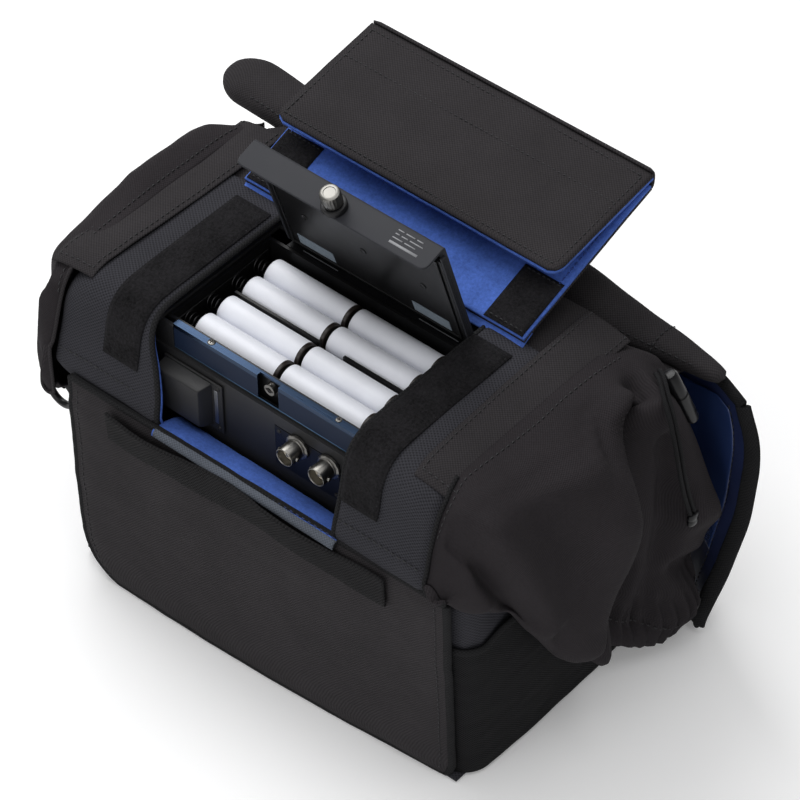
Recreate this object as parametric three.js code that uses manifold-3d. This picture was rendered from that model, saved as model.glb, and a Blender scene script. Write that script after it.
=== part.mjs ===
// Portable field recorder in its soft carrying case, battery door and case flap open.
// Units are millimetres, +Z is up. Inside the assembly every piece is placed from one datum:
// a point on the front cell row's axis just left of it, with +X along the cells and +Y away from
// the rear panel.
import * as THREE from 'three';
import { mergeVertices } from 'three/addons/utils/BufferGeometryUtils.js';
import Module from 'manifold-3d';

const wasm = await Module();
wasm.setup();

// ---- Driving dimensions ------------------------------------------------------------------
const GAP = 0.3; // clearance between touching pieces

const CELL = { radius: 7.25, length: 50.5, capLength: 1, capRadius: 2.7, start: 2.6,
  rows: [0, 14.8, 31.4, 46.2] };
const CELL_PITCH = CELL.length + 0.3;

const RECORDER = { x0: -51, x1: 155, y0: -16, y1: 108, z0: -70, top: 9.5, wall: 2 };
const UPPER_BAND_Y = -14.3; // the rear face steps in here, so that the door's lip lies flush
const BAND_BOTTOM = -6;
const TRAY = { x0: -9, x1: 107, y0: -10.5, y1: 57.5, z0: -11, top: 8, wall: 1.6 };
const STRIP = { x0: -2, x1: 110, depth: 4.5, thickness: 1.2 };
const NOTCH = { x: 54.5, halfWidth: 6.2, depth: 14 };
const BUSH_Z = 3.2;
const BUTTONS = [['record_button', 104], ['stop_button', 124]]; // name, left edge

const DOOR = { x0: 0.3, x1: 108.7, hingeY: 60, hingeZ: 9, reach: 75.8, lip: 14.5, sheet: 1.4, outer: 3.7 };
const DOOR_OPEN = 73; // degrees from closed
const THUMB = { radius: 4.6, length: 8, collarRadius: 6 };

const STRAP_TOP = 17;
const STRAP_THICKNESS = 3.5;
const LEFT_STRAP = { x0: -60, x1: -7.5 };
const RIGHT_STRAP = { x0: 109.1, x1: 160 };
const LOOP_WIDTH = 21.5;
const LOOP_THICKNESS = 1.4;
const LOOP_END = 62; // where the loop strips stop, short of the flap's root
const FLAP = { x0: -34, x1: 131, baseY: 68, baseZ: 18, foldY: 160, foldZ: 49, thickness: 3.5 };
const FLAP_UPPER_LENGTH = 70;
const FLAP_UPPER_DROP = 9; // degrees below level, from the fold to the free edge
const FLAP_FOLD_GAP = 1.2;

const FLOOR = -158;
const BAG = { x0: -54, x1: 179.5, far: 131, top: -42, corner: 12, wall: 3, behindPanel: 2.9, bow: 3.5 };
const PANEL = { x0: -48, x1: 172, top: -36.5, thickness: 2.5 };
const HOOD = { x0: -107, x1: 203, halfWidth: 14.5, halfHeight: 8.5 };
const HOOD_Y = [[-107, 137.5], [100, 128.5], [203, 122.5]]; // along X: the hood bends towards the rear
const HOOD_Z = [[-107, 3], [100, 0], [150, -5], [203, -12]]; // and droops at its free end
const COVER = { bottom: -152, thickness: 3 };
const COVER_TOP = [[90, -12], [150, -17], [205, -24]]; // along X: just under the hood

// ---- Materials ---------------------------------------------------------------------------
function material(color, roughness, metalness = 0) {
  return new THREE.MeshStandardMaterial({ color, roughness, metalness });
}

const finish = {
  shell: material(0x1d1e20, 0.5),
  gloss: material(0x0c0c0d, 0.2),
  door: material(0x2a2c2f, 0.45, 0.4),
  blueMetal: material(0x2d4560, 0.3, 0.8),
  nickel: material(0xb9b5ab, 0.25, 1),
  sleeve: material(0xe6e8ee, 0.45),
  foam: material(0x6d7880, 0.9),
  dielectric: material(0xb5ad98, 0.6),
  board: material(0x0f4a2c, 0.6),
  glass: material(0x10151a, 0.1),
  nylon: material(0x1b191a, 0.9),
  weave: material(0x1e1f22, 0.85),
  felt: material(0x2b4fc0, 0.95),
  loop: material(0x0b0b0b, 1),
  cord: material(0x141414, 0.8),
};

// ---- Building helpers --------------------------------------------------------------------
const assembly = new THREE.Group();
const datum = new THREE.Group();
assembly.add(datum);

function add(name, geometry, look, parent = datum) {
  const mesh = new THREE.Mesh(geometry, look);
  mesh.name = name;
  parent.add(mesh);
  return mesh;
}

function solid(geometry) {
  let bare = geometry.clone();
  bare.deleteAttribute('normal');
  bare.deleteAttribute('uv');
  bare = mergeVertices(bare, 1e-4);
  return new wasm.Manifold(new wasm.Mesh({
    numProp: 3,
    vertProperties: new Float32Array(bare.attributes.position.array),
    triVerts: new Uint32Array(bare.index.array),
  }));
}

function geometryOf(manifold) {
  const mesh = manifold.getMesh();
  const geometry = new THREE.BufferGeometry();
  geometry.setAttribute('position', new THREE.BufferAttribute(mesh.vertProperties, 3));
  geometry.setIndex(new THREE.BufferAttribute(mesh.triVerts, 1));
  geometry.computeVertexNormals();
  return geometry;
}

function cut(geometry, ...tools) {
  return geometryOf(tools.reduce((body, tool) => body.subtract(solid(tool)), solid(geometry)));
}

function join(...pieces) {
  return geometryOf(pieces.map(solid).reduce((a, b) => a.add(b)));
}

function box(x0, x1, y0, y1, z0, z1) {
  const geometry = new THREE.BoxGeometry(x1 - x0, y1 - y0, z1 - z0);
  return geometry.translate((x0 + x1) / 2, (y0 + y1) / 2, (z0 + z1) / 2);
}

// A cylinder whose axis runs along X, Y or Z from `from` to `to`, centred on the other two.
function rod(axis, from, to, centre, radius, segments = 20) {
  const geometry = new THREE.CylinderGeometry(radius, radius, to - from, segments);
  const middle = (from + to) / 2;
  if (axis === 'x') return geometry.rotateZ(Math.PI / 2).translate(middle, centre[0], centre[1]);
  if (axis === 'y') return geometry.translate(centre[0], middle, centre[1]);
  return geometry.rotateX(Math.PI / 2).translate(centre[0], centre[1], middle);
}

// An outline in (y, z), extruded along X.
function alongX(outline, x0, x1) {
  const shape = new THREE.Shape(outline.map(([y, z]) => new THREE.Vector2(y, z)));
  const geometry = new THREE.ExtrudeGeometry(shape, { depth: x1 - x0, bevelEnabled: false });
  const turn = new THREE.Matrix4().makeBasis(
    new THREE.Vector3(0, 1, 0), new THREE.Vector3(0, 0, 1), new THREE.Vector3(1, 0, 0));
  return geometry.applyMatrix4(turn).translate(x0, 0, 0);
}

// A solid through closed rings. Each ring is a list of (a, b) at one station of the axis.
function loft(axis, stations) {
  const place = {
    x: (at, [a, b]) => [at, a, b],
    y: (at, [a, b]) => [a, at, b],
    z: (at, [a, b]) => [a, b, at],
  }[axis];
  const count = stations[0].ring.length;
  const positions = stations.flatMap(({ at, ring }) => ring.flatMap((point) => place(at, point)));
  const faces = [];
  for (let i = 0; i + 1 < stations.length; i += 1) {
    for (let j = 0; j < count; j += 1) {
      const a = i * count + j;
      const b = i * count + ((j + 1) % count);
      faces.push([a, b, b + count], [a, b + count, a + count]);
    }
  }
  const contour = (ring) => ring.map(([a, b]) => new THREE.Vector2(a, b));
  const startCap = THREE.ShapeUtils.triangulateShape(contour(stations[0].ring), []);
  const endCap = THREE.ShapeUtils.triangulateShape(contour(stations.at(-1).ring), []);
  const last = (stations.length - 1) * count;
  const ringTurns = THREE.ShapeUtils.area(contour(stations[0].ring)) > 0;
  startCap.forEach(([a, b, c]) => faces.push(ringTurns ? [c, b, a] : [a, b, c].reverse()));
  endCap.forEach(([a, b, c]) => faces.push([a + last, b + last, c + last]));
  return closedGeometry(positions, faces);
}

// Turns each triangle so that all agree with their neighbours, and all face out.
function closedGeometry(positions, faces) {
  const owners = new Map();
  faces.forEach((face, index) => {
    face.forEach((vertex, k) => {
      const next = face[(k + 1) % 3];
      const key = Math.min(vertex, next) + '_' + Math.max(vertex, next);
      owners.set(key, [...(owners.get(key) ?? []), index]);
    });
  });
  const seen = new Set([0]);
  const queue = [0];
  while (queue.length > 0) {
    const face = faces[queue.pop()];
    const edges = face.map((vertex, k) => [vertex, face[(k + 1) % 3]]);
    for (const [a, b] of edges) {
      for (const other of owners.get(Math.min(a, b) + '_' + Math.max(a, b))) {
        if (!seen.has(other)) {
          const near = faces[other];
          const sameWay = near.some((vertex, k) => vertex === a && near[(k + 1) % 3] === b);
          if (sameWay) near.reverse();
          seen.add(other);
          queue.push(other);
        }
      }
    }
  }
  const point = (i) => new THREE.Vector3(...positions.slice(3 * i, 3 * i + 3));
  const volume = faces.reduce((sum, [a, b, c]) => sum + point(a).dot(point(b).cross(point(c))), 0);
  if (volume < 0) faces.forEach((face) => face.reverse());
  const geometry = new THREE.BufferGeometry();
  geometry.setAttribute('position', new THREE.Float32BufferAttribute(positions, 3));
  geometry.setIndex(faces.flat());
  geometry.computeVertexNormals();
  return geometry;
}

// A thin closed sheet over a grid: surface(u, v) gives a point, normal thickness is along `side`.
function sheet(columns, rows, surface, side) {
  const positions = [];
  for (const lift of [0, 1]) {
    for (let i = 0; i <= columns; i += 1) {
      for (let j = 0; j <= rows; j += 1) {
        const [x, y, z] = surface(i / columns, j / rows);
        positions.push(x + lift * side[0], y + lift * side[1], z + lift * side[2]);
      }
    }
  }
  const layer = (columns + 1) * (rows + 1);
  const at = (i, j, top) => top * layer + i * (rows + 1) + j;
  const faces = [];
  const quad = (a, b, c, d) => faces.push([a, b, c], [a, c, d]);
  for (let i = 0; i < columns; i += 1) {
    for (let j = 0; j < rows; j += 1) {
      quad(at(i, j, 0), at(i + 1, j, 0), at(i + 1, j + 1, 0), at(i, j + 1, 0));
      quad(at(i, j, 1), at(i + 1, j, 1), at(i + 1, j + 1, 1), at(i, j + 1, 1));
    }
    quad(at(i, 0, 0), at(i + 1, 0, 0), at(i + 1, 0, 1), at(i, 0, 1));
    quad(at(i, rows, 0), at(i + 1, rows, 0), at(i + 1, rows, 1), at(i, rows, 1));
  }
  for (let j = 0; j < rows; j += 1) {
    quad(at(0, j, 0), at(0, j + 1, 0), at(0, j + 1, 1), at(0, j, 1));
    quad(at(columns, j, 0), at(columns, j + 1, 0), at(columns, j + 1, 1), at(columns, j, 1));
  }
  return closedGeometry(positions, faces);
}

function mix(a, b, t) {
  return a + (b - a) * t;
}

// Reads a value from [position, value] pairs, with a straight line between them.
function along(table, at) {
  if (at <= table[0][0]) return table[0][1];
  const next = table.findIndex(([position]) => position >= at);
  if (next < 0) return table.at(-1)[1];
  const [a, valueA] = table[next - 1];
  const [b, valueB] = table[next];
  return mix(valueA, valueB, (at - a) / (b - a));
}

// ---- Recorder body -----------------------------------------------------------------------
function recorderCase() {
  const { x0, x1, y0, y1, z0, top, wall } = RECORDER;
  const lower = box(x0, x1, y0, y1, z0, BAND_BOTTOM);
  const upper = box(x0, x1, UPPER_BAND_Y, y1, BAND_BOTTOM - 1, top);
  const inside = box(x0 + wall, x1 - wall, UPPER_BAND_Y + wall, y1 + 1, z0 + wall, top - wall);
  const trayWindow = box(TRAY.x0 - GAP, TRAY.x1 + GAP, TRAY.y0 - GAP, TRAY.y1 + GAP, 0, top + 1);
  const doorSeat = box(TRAY.x0 - GAP, STRIP.x1 + GAP, UPPER_BAND_Y - 1, DOOR.hingeY + 4.5,
    TRAY.top - 0.6, top + 1);
  const stripSeat = box(STRIP.x0 - GAP, STRIP.x1 + GAP, UPPER_BAND_Y - 1, TRAY.y0 + 1,
    BAND_BOTTOM + 1, top + 1);
  const plateSeat = box(59.3, 97.7, y0 - 1, y0 + 3.8, -36.3, -12.7);
  return cut(join(lower, upper), inside, trayWindow, doorSeat, stripSeat, plateSeat);
}

function rearTrimStrip() {
  const { x0, x1, depth, thickness } = STRIP;
  const back = UPPER_BAND_Y + depth - 1;
  const angle = alongX([
    [UPPER_BAND_Y, BAND_BOTTOM + 1.3],
    [UPPER_BAND_Y + thickness, BAND_BOTTOM + 1.3],
    [UPPER_BAND_Y + thickness, RECORDER.top - thickness],
    [back, RECORDER.top - thickness],
    [back, RECORDER.top],
    [UPPER_BAND_Y, RECORDER.top],
  ], x0, x1);
  const notch = box(NOTCH.x - NOTCH.halfWidth, NOTCH.x + NOTCH.halfWidth, UPPER_BAND_Y - 1, back - 1.2,
    RECORDER.top - NOTCH.depth, RECORDER.top + 1);
  const holes = [19.2, 94].map((x) => {
    return rod('z', RECORDER.top - 3, RECORDER.top + 1, [x, UPPER_BAND_Y + 2.2], 1.1, 12);
  });
  return cut(angle, notch, ...holes);
}

function stripScrew(x) {
  const head = rod('z', RECORDER.top + 0.02, RECORDER.top + 0.5, [x, UPPER_BAND_Y + 2.2], 1.5, 16);
  const shank = rod('z', RECORDER.top - 1.1, RECORDER.top + 0.1, [x, UPPER_BAND_Y + 2.2], 0.8, 12);
  return join(head, shank);
}

function thumbscrewBush() {
  const { x } = NOTCH;
  const backY = TRAY.y0 - GAP;
  const body = rod('y', UPPER_BAND_Y + 0.8, backY, [x, BUSH_Z], 2.9, 20);
  const hole = rod('y', UPPER_BAND_Y - 1, backY - 0.6, [x, BUSH_Z], 1.4, 16);
  return cut(body, hole);
}

function batteryTray() {
  const { x0, x1, y0, y1, z0, top, wall } = TRAY;
  const inside = box(x0 + wall, x1 - wall, y0 + wall, y1 - wall, z0 + wall, top + 1);
  const rib = box(1, 100, 22.4, 23.8, z0 + 0.5, 4.2);
  const fingerNotch = box(52, 66, 21, 25, -2.5, 6);
  return join(cut(box(x0, x1, y0, y1, z0, top), inside), cut(rib, fingerNotch));
}

// Negative contacts: one plate with a cone spring in line with each row.
function contactStrip() {
  const plateX = TRAY.x0 + TRAY.wall + GAP;
  const plate = box(plateX, plateX + 0.8, -7, 53.4, -7, 4);
  const root = plateX + 0.5;
  const tip = CELL.start - GAP;
  const springs = CELL.rows.map((y) => {
    const cone = new THREE.CylinderGeometry(2.2, 4, tip - root, 12);
    return cone.rotateZ(-Math.PI / 2).translate((root + tip) / 2, y, 0);
  });
  return join(plate, ...springs);
}

function contactPlate() {
  const x = TRAY.x1 - TRAY.wall - GAP;
  return box(x - 0.8, x, -7, 53.4, -7, 4);
}

function cell() {
  const { radius, length, capLength, capRadius } = CELL;
  const profile = [[0, 0], [radius - 1, 0], [radius, 0.8], [radius, length - 3],
    [radius - 0.35, length - 2.6], [radius - 0.35, length - 1.6], [radius - 1, length - capLength],
    [capRadius, length - capLength], [capRadius, length], [0, length]];
  const points = profile.map(([r, h]) => new THREE.Vector2(r, h));
  return new THREE.LatheGeometry(points, 20).rotateZ(-Math.PI / 2);
}

function bncJack(x) {
  const face = RECORDER.y0 - 0.4;
  const profile = [[0, -0.2], [6, -0.2], [6, -1.6], [4.85, -1.6], [4.85, -9.5], [4.1, -9.5], [4.1, -4],
    [1.1, -4], [1.1, -7.5], [0, -7.5]];
  const points = profile.map(([r, h]) => new THREE.Vector2(r, h)).reverse();
  const barrel = new THREE.LatheGeometry(points, 20).translate(x, face, -17);
  const lugs = rod('x', x - 5.7, x + 5.7, [face - 6.5, -17], 0.8, 8);
  const bore = rod('y', face - 11, face - 4.2, [x, -17], 4.1, 20);
  const pin = rod('y', face - 7.5, face - 3.8, [x, -17], 1.1, 10);
  return join(cut(join(barrel, lugs), bore), pin);
}

function bncPlate() {
  const plate = box(59.6, 97.4, RECORDER.y0 - 0.2, RECORDER.y0 + 1.6, -36, -13);
  return plate;
}

function connectorBlock() {
  const face = RECORDER.y0 - 0.3;
  const frameOuter = box(-6, 29, face - 1.2, face, -38, -9);
  const block = loft('y', [
    { at: face - 8.2, ring: [[-5, -34], [21, -34], [21, -11], [-5, -11]] },
    { at: face - 0.6, ring: [[-5.6, -36], [23.5, -36], [23.5, -9.6], [-5.6, -9.6]] },
  ]);
  const slit = box(24.6, 26.6, face - 2, face - 0.5, -33, -13);
  return cut(join(frameOuter, block), slit);
}

function hingeLeaf() {
  const y = DOOR.hingeY;
  const base = box(1, 108, TRAY.y1 + GAP + 0.1, y + 4, TRAY.top - 0.6, TRAY.top - 0.1);
  const slots = [26.5, 74.8].map((x) => box(x - 3, x + 3, y + 1.8, y + 2.8, TRAY.top - 1, TRAY.top + 1));
  return cut(base, ...slots);
}

function frontPanel() {
  const { x0, x1, y1, z0, top, wall } = RECORDER;
  const plate = box(x0 + wall + GAP, x1 - wall - GAP, y1 - 2.4, y1, z0 + wall + GAP, top - wall - GAP);
  const display = box(20, 84, y1 - 1.2, y1 + 1, -40, -12);
  const buttonHoles = BUTTONS.map(([, x]) => {
    return box(x - GAP, x + 14 + GAP, y1 - 4, y1 + 1, -52 - GAP, -44 + GAP);
  });
  return cut(plate, display, ...buttonHoles);
}

function frontKnob(x) {
  const skirt = rod('y', RECORDER.y1 + GAP, RECORDER.y1 + 3, [x, -48], 9, 24);
  const grip = rod('y', RECORDER.y1 + 2, RECORDER.y1 + 12, [x, -48], 7, 24);
  const pointer = box(x - 0.6, x + 0.6, RECORDER.y1 + 11, RECORDER.y1 + 13, -48, -42);
  return join(skirt, grip, pointer);
}

function circuitBoard() {
  const board = box(-44, 148, -8, 98, -50, -48.4);
  const parts = [[-30, 20, 24, 6], [30, 40, 30, 5], [90, 10, 20, 8], [110, 70, 26, 6]];
  const chips = parts.map(([x, y, size, height]) => box(x, x + size, y, y + size, -48.6, -48.4 + height));
  return join(board, ...chips);
}

function buildRecorder() {
  add('recorder_case', recorderCase(), finish.shell);
  add('rear_trim_strip', rearTrimStrip(), finish.blueMetal);
  add('strip_screw_left', stripScrew(19.2), finish.nickel);
  add('strip_screw_right', stripScrew(94), finish.nickel);
  add('thumbscrew_bush', thumbscrewBush(), finish.nickel);
  add('battery_tray', batteryTray(), finish.gloss);
  add('contact_strip_left', contactStrip(), finish.nickel);
  add('contact_strip_right', contactPlate(), finish.nickel);
  add('hinge_leaf', hingeLeaf(), finish.gloss);
  add('bnc_plate', bncPlate(), finish.gloss);
  add('bnc_jack_left', bncJack(73.5), finish.nickel);
  add('bnc_jack_right', bncJack(92), finish.nickel);
  add('connector_block', connectorBlock(), finish.shell);
  add('front_panel', frontPanel(), finish.shell);
  add('display_window', box(20.3, 83.7, RECORDER.y1 - 0.9, RECORDER.y1 + 0.3, -39.7, -12.3), finish.glass);
  add('circuit_board', circuitBoard(), finish.board);
  add('level_knob_left', frontKnob(-20), finish.gloss);
  add('level_knob_right', frontKnob(10), finish.gloss);
  BUTTONS.forEach(([name, x]) => {
    add(name, box(x, x + 14, RECORDER.y1 - 1.6, RECORDER.y1 + 3, -52, -44), finish.gloss);
  });
}

function buildCells() {
  let number = 1;
  for (const y of CELL.rows) {
    for (const x of [CELL.start, CELL.start + CELL_PITCH]) {
      add('cell_' + number, cell(), finish.sleeve).position.set(x, y, 0);
      number += 1;
    }
  }
}

// ---- Battery door ------------------------------------------------------------------------
// Drawn closed, about its hinge line, and then turned open.
function buildDoor() {
  const door = new THREE.Group();
  door.position.set(0, DOOR.hingeY, DOOR.hingeZ);
  door.rotation.x = -THREE.MathUtils.degToRad(DOOR_OPEN);
  datum.add(door);
  const { x0, x1, reach, lip, sheet: steel, outer } = DOOR;
  const under = outer - steel;
  const profile = [[-reach, outer], [-reach, outer - lip], [-reach + steel, outer - lip],
    [-reach + steel, under], [-0.7, under], [-0.7, -0.2], [0.7, -0.2], [0.7, outer - 0.8], [0, outer]];
  const sideLeft = box(x0, x0 + steel, -reach + 6, -2, -0.1, outer - 0.5);
  const sideRight = box(x1 - steel, x1, -reach + 6, -2, -0.1, outer - 0.5);
  const collarHole = rod('y', -reach - 1, -reach + 3, [NOTCH.x, BUSH_Z - DOOR.hingeZ], 2.2, 16);
  const shell = cut(join(alongX(profile, x0, x1), sideLeft, sideRight), collarHole);
  add('battery_door', shell, finish.door, door);
  const frame = box(x0 + steel + GAP, x1 - steel - GAP, -66.5, -2, 0, under - GAP);
  const padSeats = [[9, 31], [77, 99]].map(([a, b]) => box(a, b, -13, -4, -1, 1.4));
  add('door_inner_frame', cut(frame, ...padSeats), finish.gloss, door);
  [['door_pad_left', 9], ['door_pad_right', 77]].forEach(([name, x]) => {
    add(name, box(x + GAP, x + 22 - GAP, -13 + GAP, -4 - GAP, -0.1, 1.4 - GAP), finish.foam, door);
  });
  const axisZ = BUSH_Z - DOOR.hingeZ;
  const faceY = -reach;
  const collarBody = rod('y', faceY - 3.2, faceY - GAP, [NOTCH.x, axisZ], THUMB.collarRadius, 24);
  const collarBore = rod('y', faceY - 4, faceY + 1, [NOTCH.x, axisZ], 2.4, 16);
  add('thumbscrew_collar', cut(collarBody, collarBore), finish.gloss, door);
  const knobStart = faceY - 3.2 - GAP;
  const knob = rod('y', knobStart - THUMB.length, knobStart, [NOTCH.x, axisZ], THUMB.radius, 24);
  const shank = rod('y', knobStart - 1, faceY + 1.8, [NOTCH.x, axisZ], 1.2, 12);
  const slot = box(NOTCH.x - 5, NOTCH.x + 5, knobStart - THUMB.length - 1, knobStart - THUMB.length + 0.9,
    axisZ - 0.5, axisZ + 0.5);
  add('thumbscrew', cut(join(knob, shank), slot), finish.nickel, door);
}

// ---- Case: straps over the recorder ------------------------------------------------------
// The strap's outer line from the far edge of the opening, over the rear edge and down.
const STRAP_OUTER = [[70, 0], [-2, 0], [-14, -1], [-21.6, -5.6], [-26, -13.6], [-28.5, -25],
  [-32, -38], [-36.5, -52.5]];
const STRAP_INNER = [[-33, -52.5], [-28.6, -39], [-25.2, -26], [-22.6, -15.2], [-19.2, -8], [-13.6, -4.1],
  [-3, -3.5], [70, -3.5]];

function strapRing(top) {
  const low = STRAP_OUTER.at(-1)[1];
  const bend = (z) => top + z * ((top - STRAP_TOP - low) / -low);
  return [...STRAP_OUTER, ...STRAP_INNER].map(([y, z]) => [y, bend(z)]);
}

function strap(stations) {
  return loft('x', stations.map(([x, top]) => ({ at: x, ring: strapRing(top) })));
}

// A thin strip laid on the strap between two stations, from the far edge to the given point of
// the outer line.
function stripOnStrap(x0, x1, top0, top1, points) {
  const lay = (top, height) => {
    const low = STRAP_OUTER.at(-1)[1];
    const lift = (z) => top + z * ((top - STRAP_TOP - low) / -low);
    return STRAP_OUTER.slice(0, points).map(([y, z], i) => {
      const slope = Math.min(1, i / 5);
      return [Math.min(LOOP_END, y) - slope * height, lift(z) + (1 - 0.6 * slope) * height];
    });
  };
  const ring = (top) => [...lay(top, GAP), ...lay(top, GAP + LOOP_THICKNESS).reverse()];
  return loft('x', [{ at: x0, ring: ring(top0) }, { at: x1, ring: ring(top1) }]);
}

function buildStraps() {
  const left = [[LEFT_STRAP.x0, 8.5], [-52, 13.6], [-46, 15.6], [-33, STRAP_TOP],
    [LEFT_STRAP.x1, STRAP_TOP]];
  const right = [[RIGHT_STRAP.x0, STRAP_TOP], [135, STRAP_TOP], [150, 15.6], [156.4, 13.8],
    [RIGHT_STRAP.x1, 12]];
  add('left_strap', strap(left), finish.weave);
  add('right_strap', strap(right), finish.weave);
  add('left_loop_strip', stripOnStrap(-32, -32 + LOOP_WIDTH, STRAP_TOP, STRAP_TOP, 6), finish.loop);
  add('right_loop_strip', stripOnStrap(109.6, 109.6 + LOOP_WIDTH, STRAP_TOP, STRAP_TOP, 6), finish.loop);
}

// The folded edge of each sleeve lies on its strap as a flat band with a square end.
function buildPlackets() {
  const band = (x0, x1, top0, top1) => loft('x', [x0, (x0 + x1) / 2, x1].map((x, i) => {
    const top = mix(top0, top1, i / 2);
    return { at: x, ring: [[102, top + 1], [102, top + 3], [-10, top + 2.8], [-18.6, top - 0.8],
      [-17.6, top - 2.9], [-9, top + 1]] };
  }));
  add('left_placket', band(-70, -43, 10.4, 17.9), finish.nylon);
  add('right_placket', band(139, 163, 17.6, 14.6), finish.nylon);
}

// ---- Case: sleeves -----------------------------------------------------------------------
// How far the left sleeve's top swells above its near end.
const DOME = [[-22, -2], [0, 1], [40, 9], [80, 10], [104, 5]];

function leftSleeve() {
  const full = [[-60.4, 7], [-66, 8.6], [-71.4, 9], [-76, 10.5], [-82, 4], [-85, -14], [-83, -40],
    [-76, -58],
    [-66, -64], [-60.4, -60]];
  const shrink = [[-36, 0.45], [-32, 0.8], [-22, 0.95], [0, 1], [60, 1], [90, 0.96], [104, 0.8],
    [110, 0.5]];
  const stations = shrink.map(([y, scale]) => ({
    at: y,
    ring: full.map(([x, z], i) => [mix(-60.4, x, scale), mix(-24, z,
      scale) + (i >= 3 && i <= 5 ? along(DOME, y) : 0)]),
  }));
  return loft('y', stations);
}

const SLEEVE_OUT = [[-34, 179], [-17, 196], [0, 205], [16, 210], [40, 209], [66, 203], [90, 204.5],
  [105, 206],
  [116, 204], [122, 200]];
const SLEEVE_LOW = [[-34, -26], [-17, -41], [16, -97], [40, -116], [66, -138], [90, -151],
  [105, -147], [116, -118],
  [122, -90]];
const SLEEVE_TOP = [[-34, 4], [-17, 9], [60, 12], [90, 10], [105, -14], [116, -52], [122, -74]];

const SLEEVE_SEAM = [[90, 160.4], [105, 180.5], [122, 184.5]];

function rightSleeve() {
  const stations = SLEEVE_OUT.map(([y, out]) => {
    const low = along(SLEEVE_LOW, y);
    const inner = Math.min(184.5, out - 4);
    const shoulder = along(SLEEVE_TOP, y);
    const seam = along(SLEEVE_SEAM, y);
    const bend = Math.min(Math.max(low + 5, -34), shoulder - 4);
    return {
      at: y,
      ring: [[seam, shoulder], [mix(seam, out, 0.45), shoulder + 1], [mix(seam, out, 0.85), shoulder - 10],
        [out, mix(shoulder, low, 0.45)], [out - 1, mix(shoulder, low, 0.85)], [mix(inner, out, 0.8), low],
        [inner, low + 3], [inner, bend], [Math.min(seam, inner - 0.5), bend]],
    };
  });
  return loft('y', stations);
}

// ---- Case: body, lining, deck ------------------------------------------------------------
// The near face leans in a little towards the bottom at the right, and out at the left.
function nearFace(x, z) {
  const across = (x - PANEL.x0) / (PANEL.x1 - PANEL.x0);
  const down = (z - PANEL.top) / (FLOOR - PANEL.top);
  const bow = BAG.bow * Math.sin(Math.PI * Math.min(1, Math.max(0, across))) * down;
  return mix(mix(-38.5, -34.6, across), mix(-42, -29.5, across), down) - bow;
}

function bagRing(z, inset) {
  const { x0, x1, far, corner } = BAG;
  const ring = [];
  const round = (cx, cy, start) => {
    for (let k = 0; k <= 4; k += 1) {
      const angle = start + (Math.PI / 8) * k;
      ring.push([cx + (corner - inset) * Math.cos(angle), cy + (corner - inset) * Math.sin(angle)]);
    }
  };
  const nearY = (x) => nearFace(x, z) + PANEL.thickness + BAG.behindPanel + corner;
  round(x1 - corner, far - corner, 0);
  round(x0 + corner, far - corner, Math.PI / 2);
  round(x0 + corner, nearY(x0), Math.PI);
  round(x1 - corner, nearY(x1 - corner), Math.PI * 1.5);
  return ring;
}

function caseBody() {
  const { top, wall } = BAG;
  const outside = loft('z', [
    { at: FLOOR, ring: bagRing(FLOOR, 2) },
    { at: FLOOR + 3, ring: bagRing(FLOOR + 3, 0) },
    { at: top, ring: bagRing(top, 0) },
  ]);
  const inside = loft('z', [
    { at: FLOOR + wall, ring: bagRing(FLOOR + wall, wall) },
    { at: top + 1, ring: bagRing(top + 1, wall) },
  ]);
  const frontOpening = box(-46, 168, 100, BAG.far + 5, -120, 0);
  return cut(outside, inside, frontOpening);
}

function nearPanel() {
  const outline = (u, v) => {
    const x = mix(PANEL.x0 + along([[0, 0], [0.85, 4], [1, 24]], v), PANEL.x1 - along([[0, 0],
      [0.93, 0], [1, 3]], v), u);
    const z = mix(PANEL.top, FLOOR + 0.1, v);
    return [x, nearFace(x, z), z];
  };
  return sheet(10, 8, outline, [0, PANEL.thickness, 0]);
}

// The hook strip stands a little off the panel in two shallow waves.
function nearHookStrip() {
  const surface = (u, v) => {
    const x = mix(-21, 141, u);
    const z = mix(-39, -54.5, v) - 1.2 * Math.sin(u * 9);
    return [x, nearFace(x, z) - GAP - 1.6 - 1.1 * (1 + Math.sin(u * 12)) * (1 - v), z];
  };
  return sheet(20, 1, surface, [0, 1.5, 0]);
}

// The felt cradle under and behind the recorder. Its ledge shows only in the opening between the straps.
function caseLining() {
  const cradle = alongX([[-35.2, -33.2], [-33, -31], [-18.4, -44.6], [-18.4, -70.8], [106, -70.8],
    [106, -74],
    [-21.6, -74], [-21.6, -46.4]], -50.5, 157.5);
  const underLeftStrap = box(-60, LEFT_STRAP.x1 + GAP, -40, -18, -45, -20);
  const underRightStrap = box(RIGHT_STRAP.x0 - GAP, 170, -40, -18, -45, -20);
  return cut(cradle, underLeftStrap, underRightStrap);
}

// The fabric from the flap's root to the hood, over the recorder's front edge.
function caseDeck() {
  const surface = (u, v) => {
    const end = mix(119.5, 111, u);
    const y = along([[0, 70.6], [0.5, 104], [0.75, 108.6], [1, end]], v);
    const z = along([[0, 11.9], [0.5, 11.3], [0.75, 10.2], [1, 3.5]], v);
    return [mix(-41, 137.5, u), y, z];
  };
  return sheet(4, 4, surface, [0, 0, 3]);
}

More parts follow.
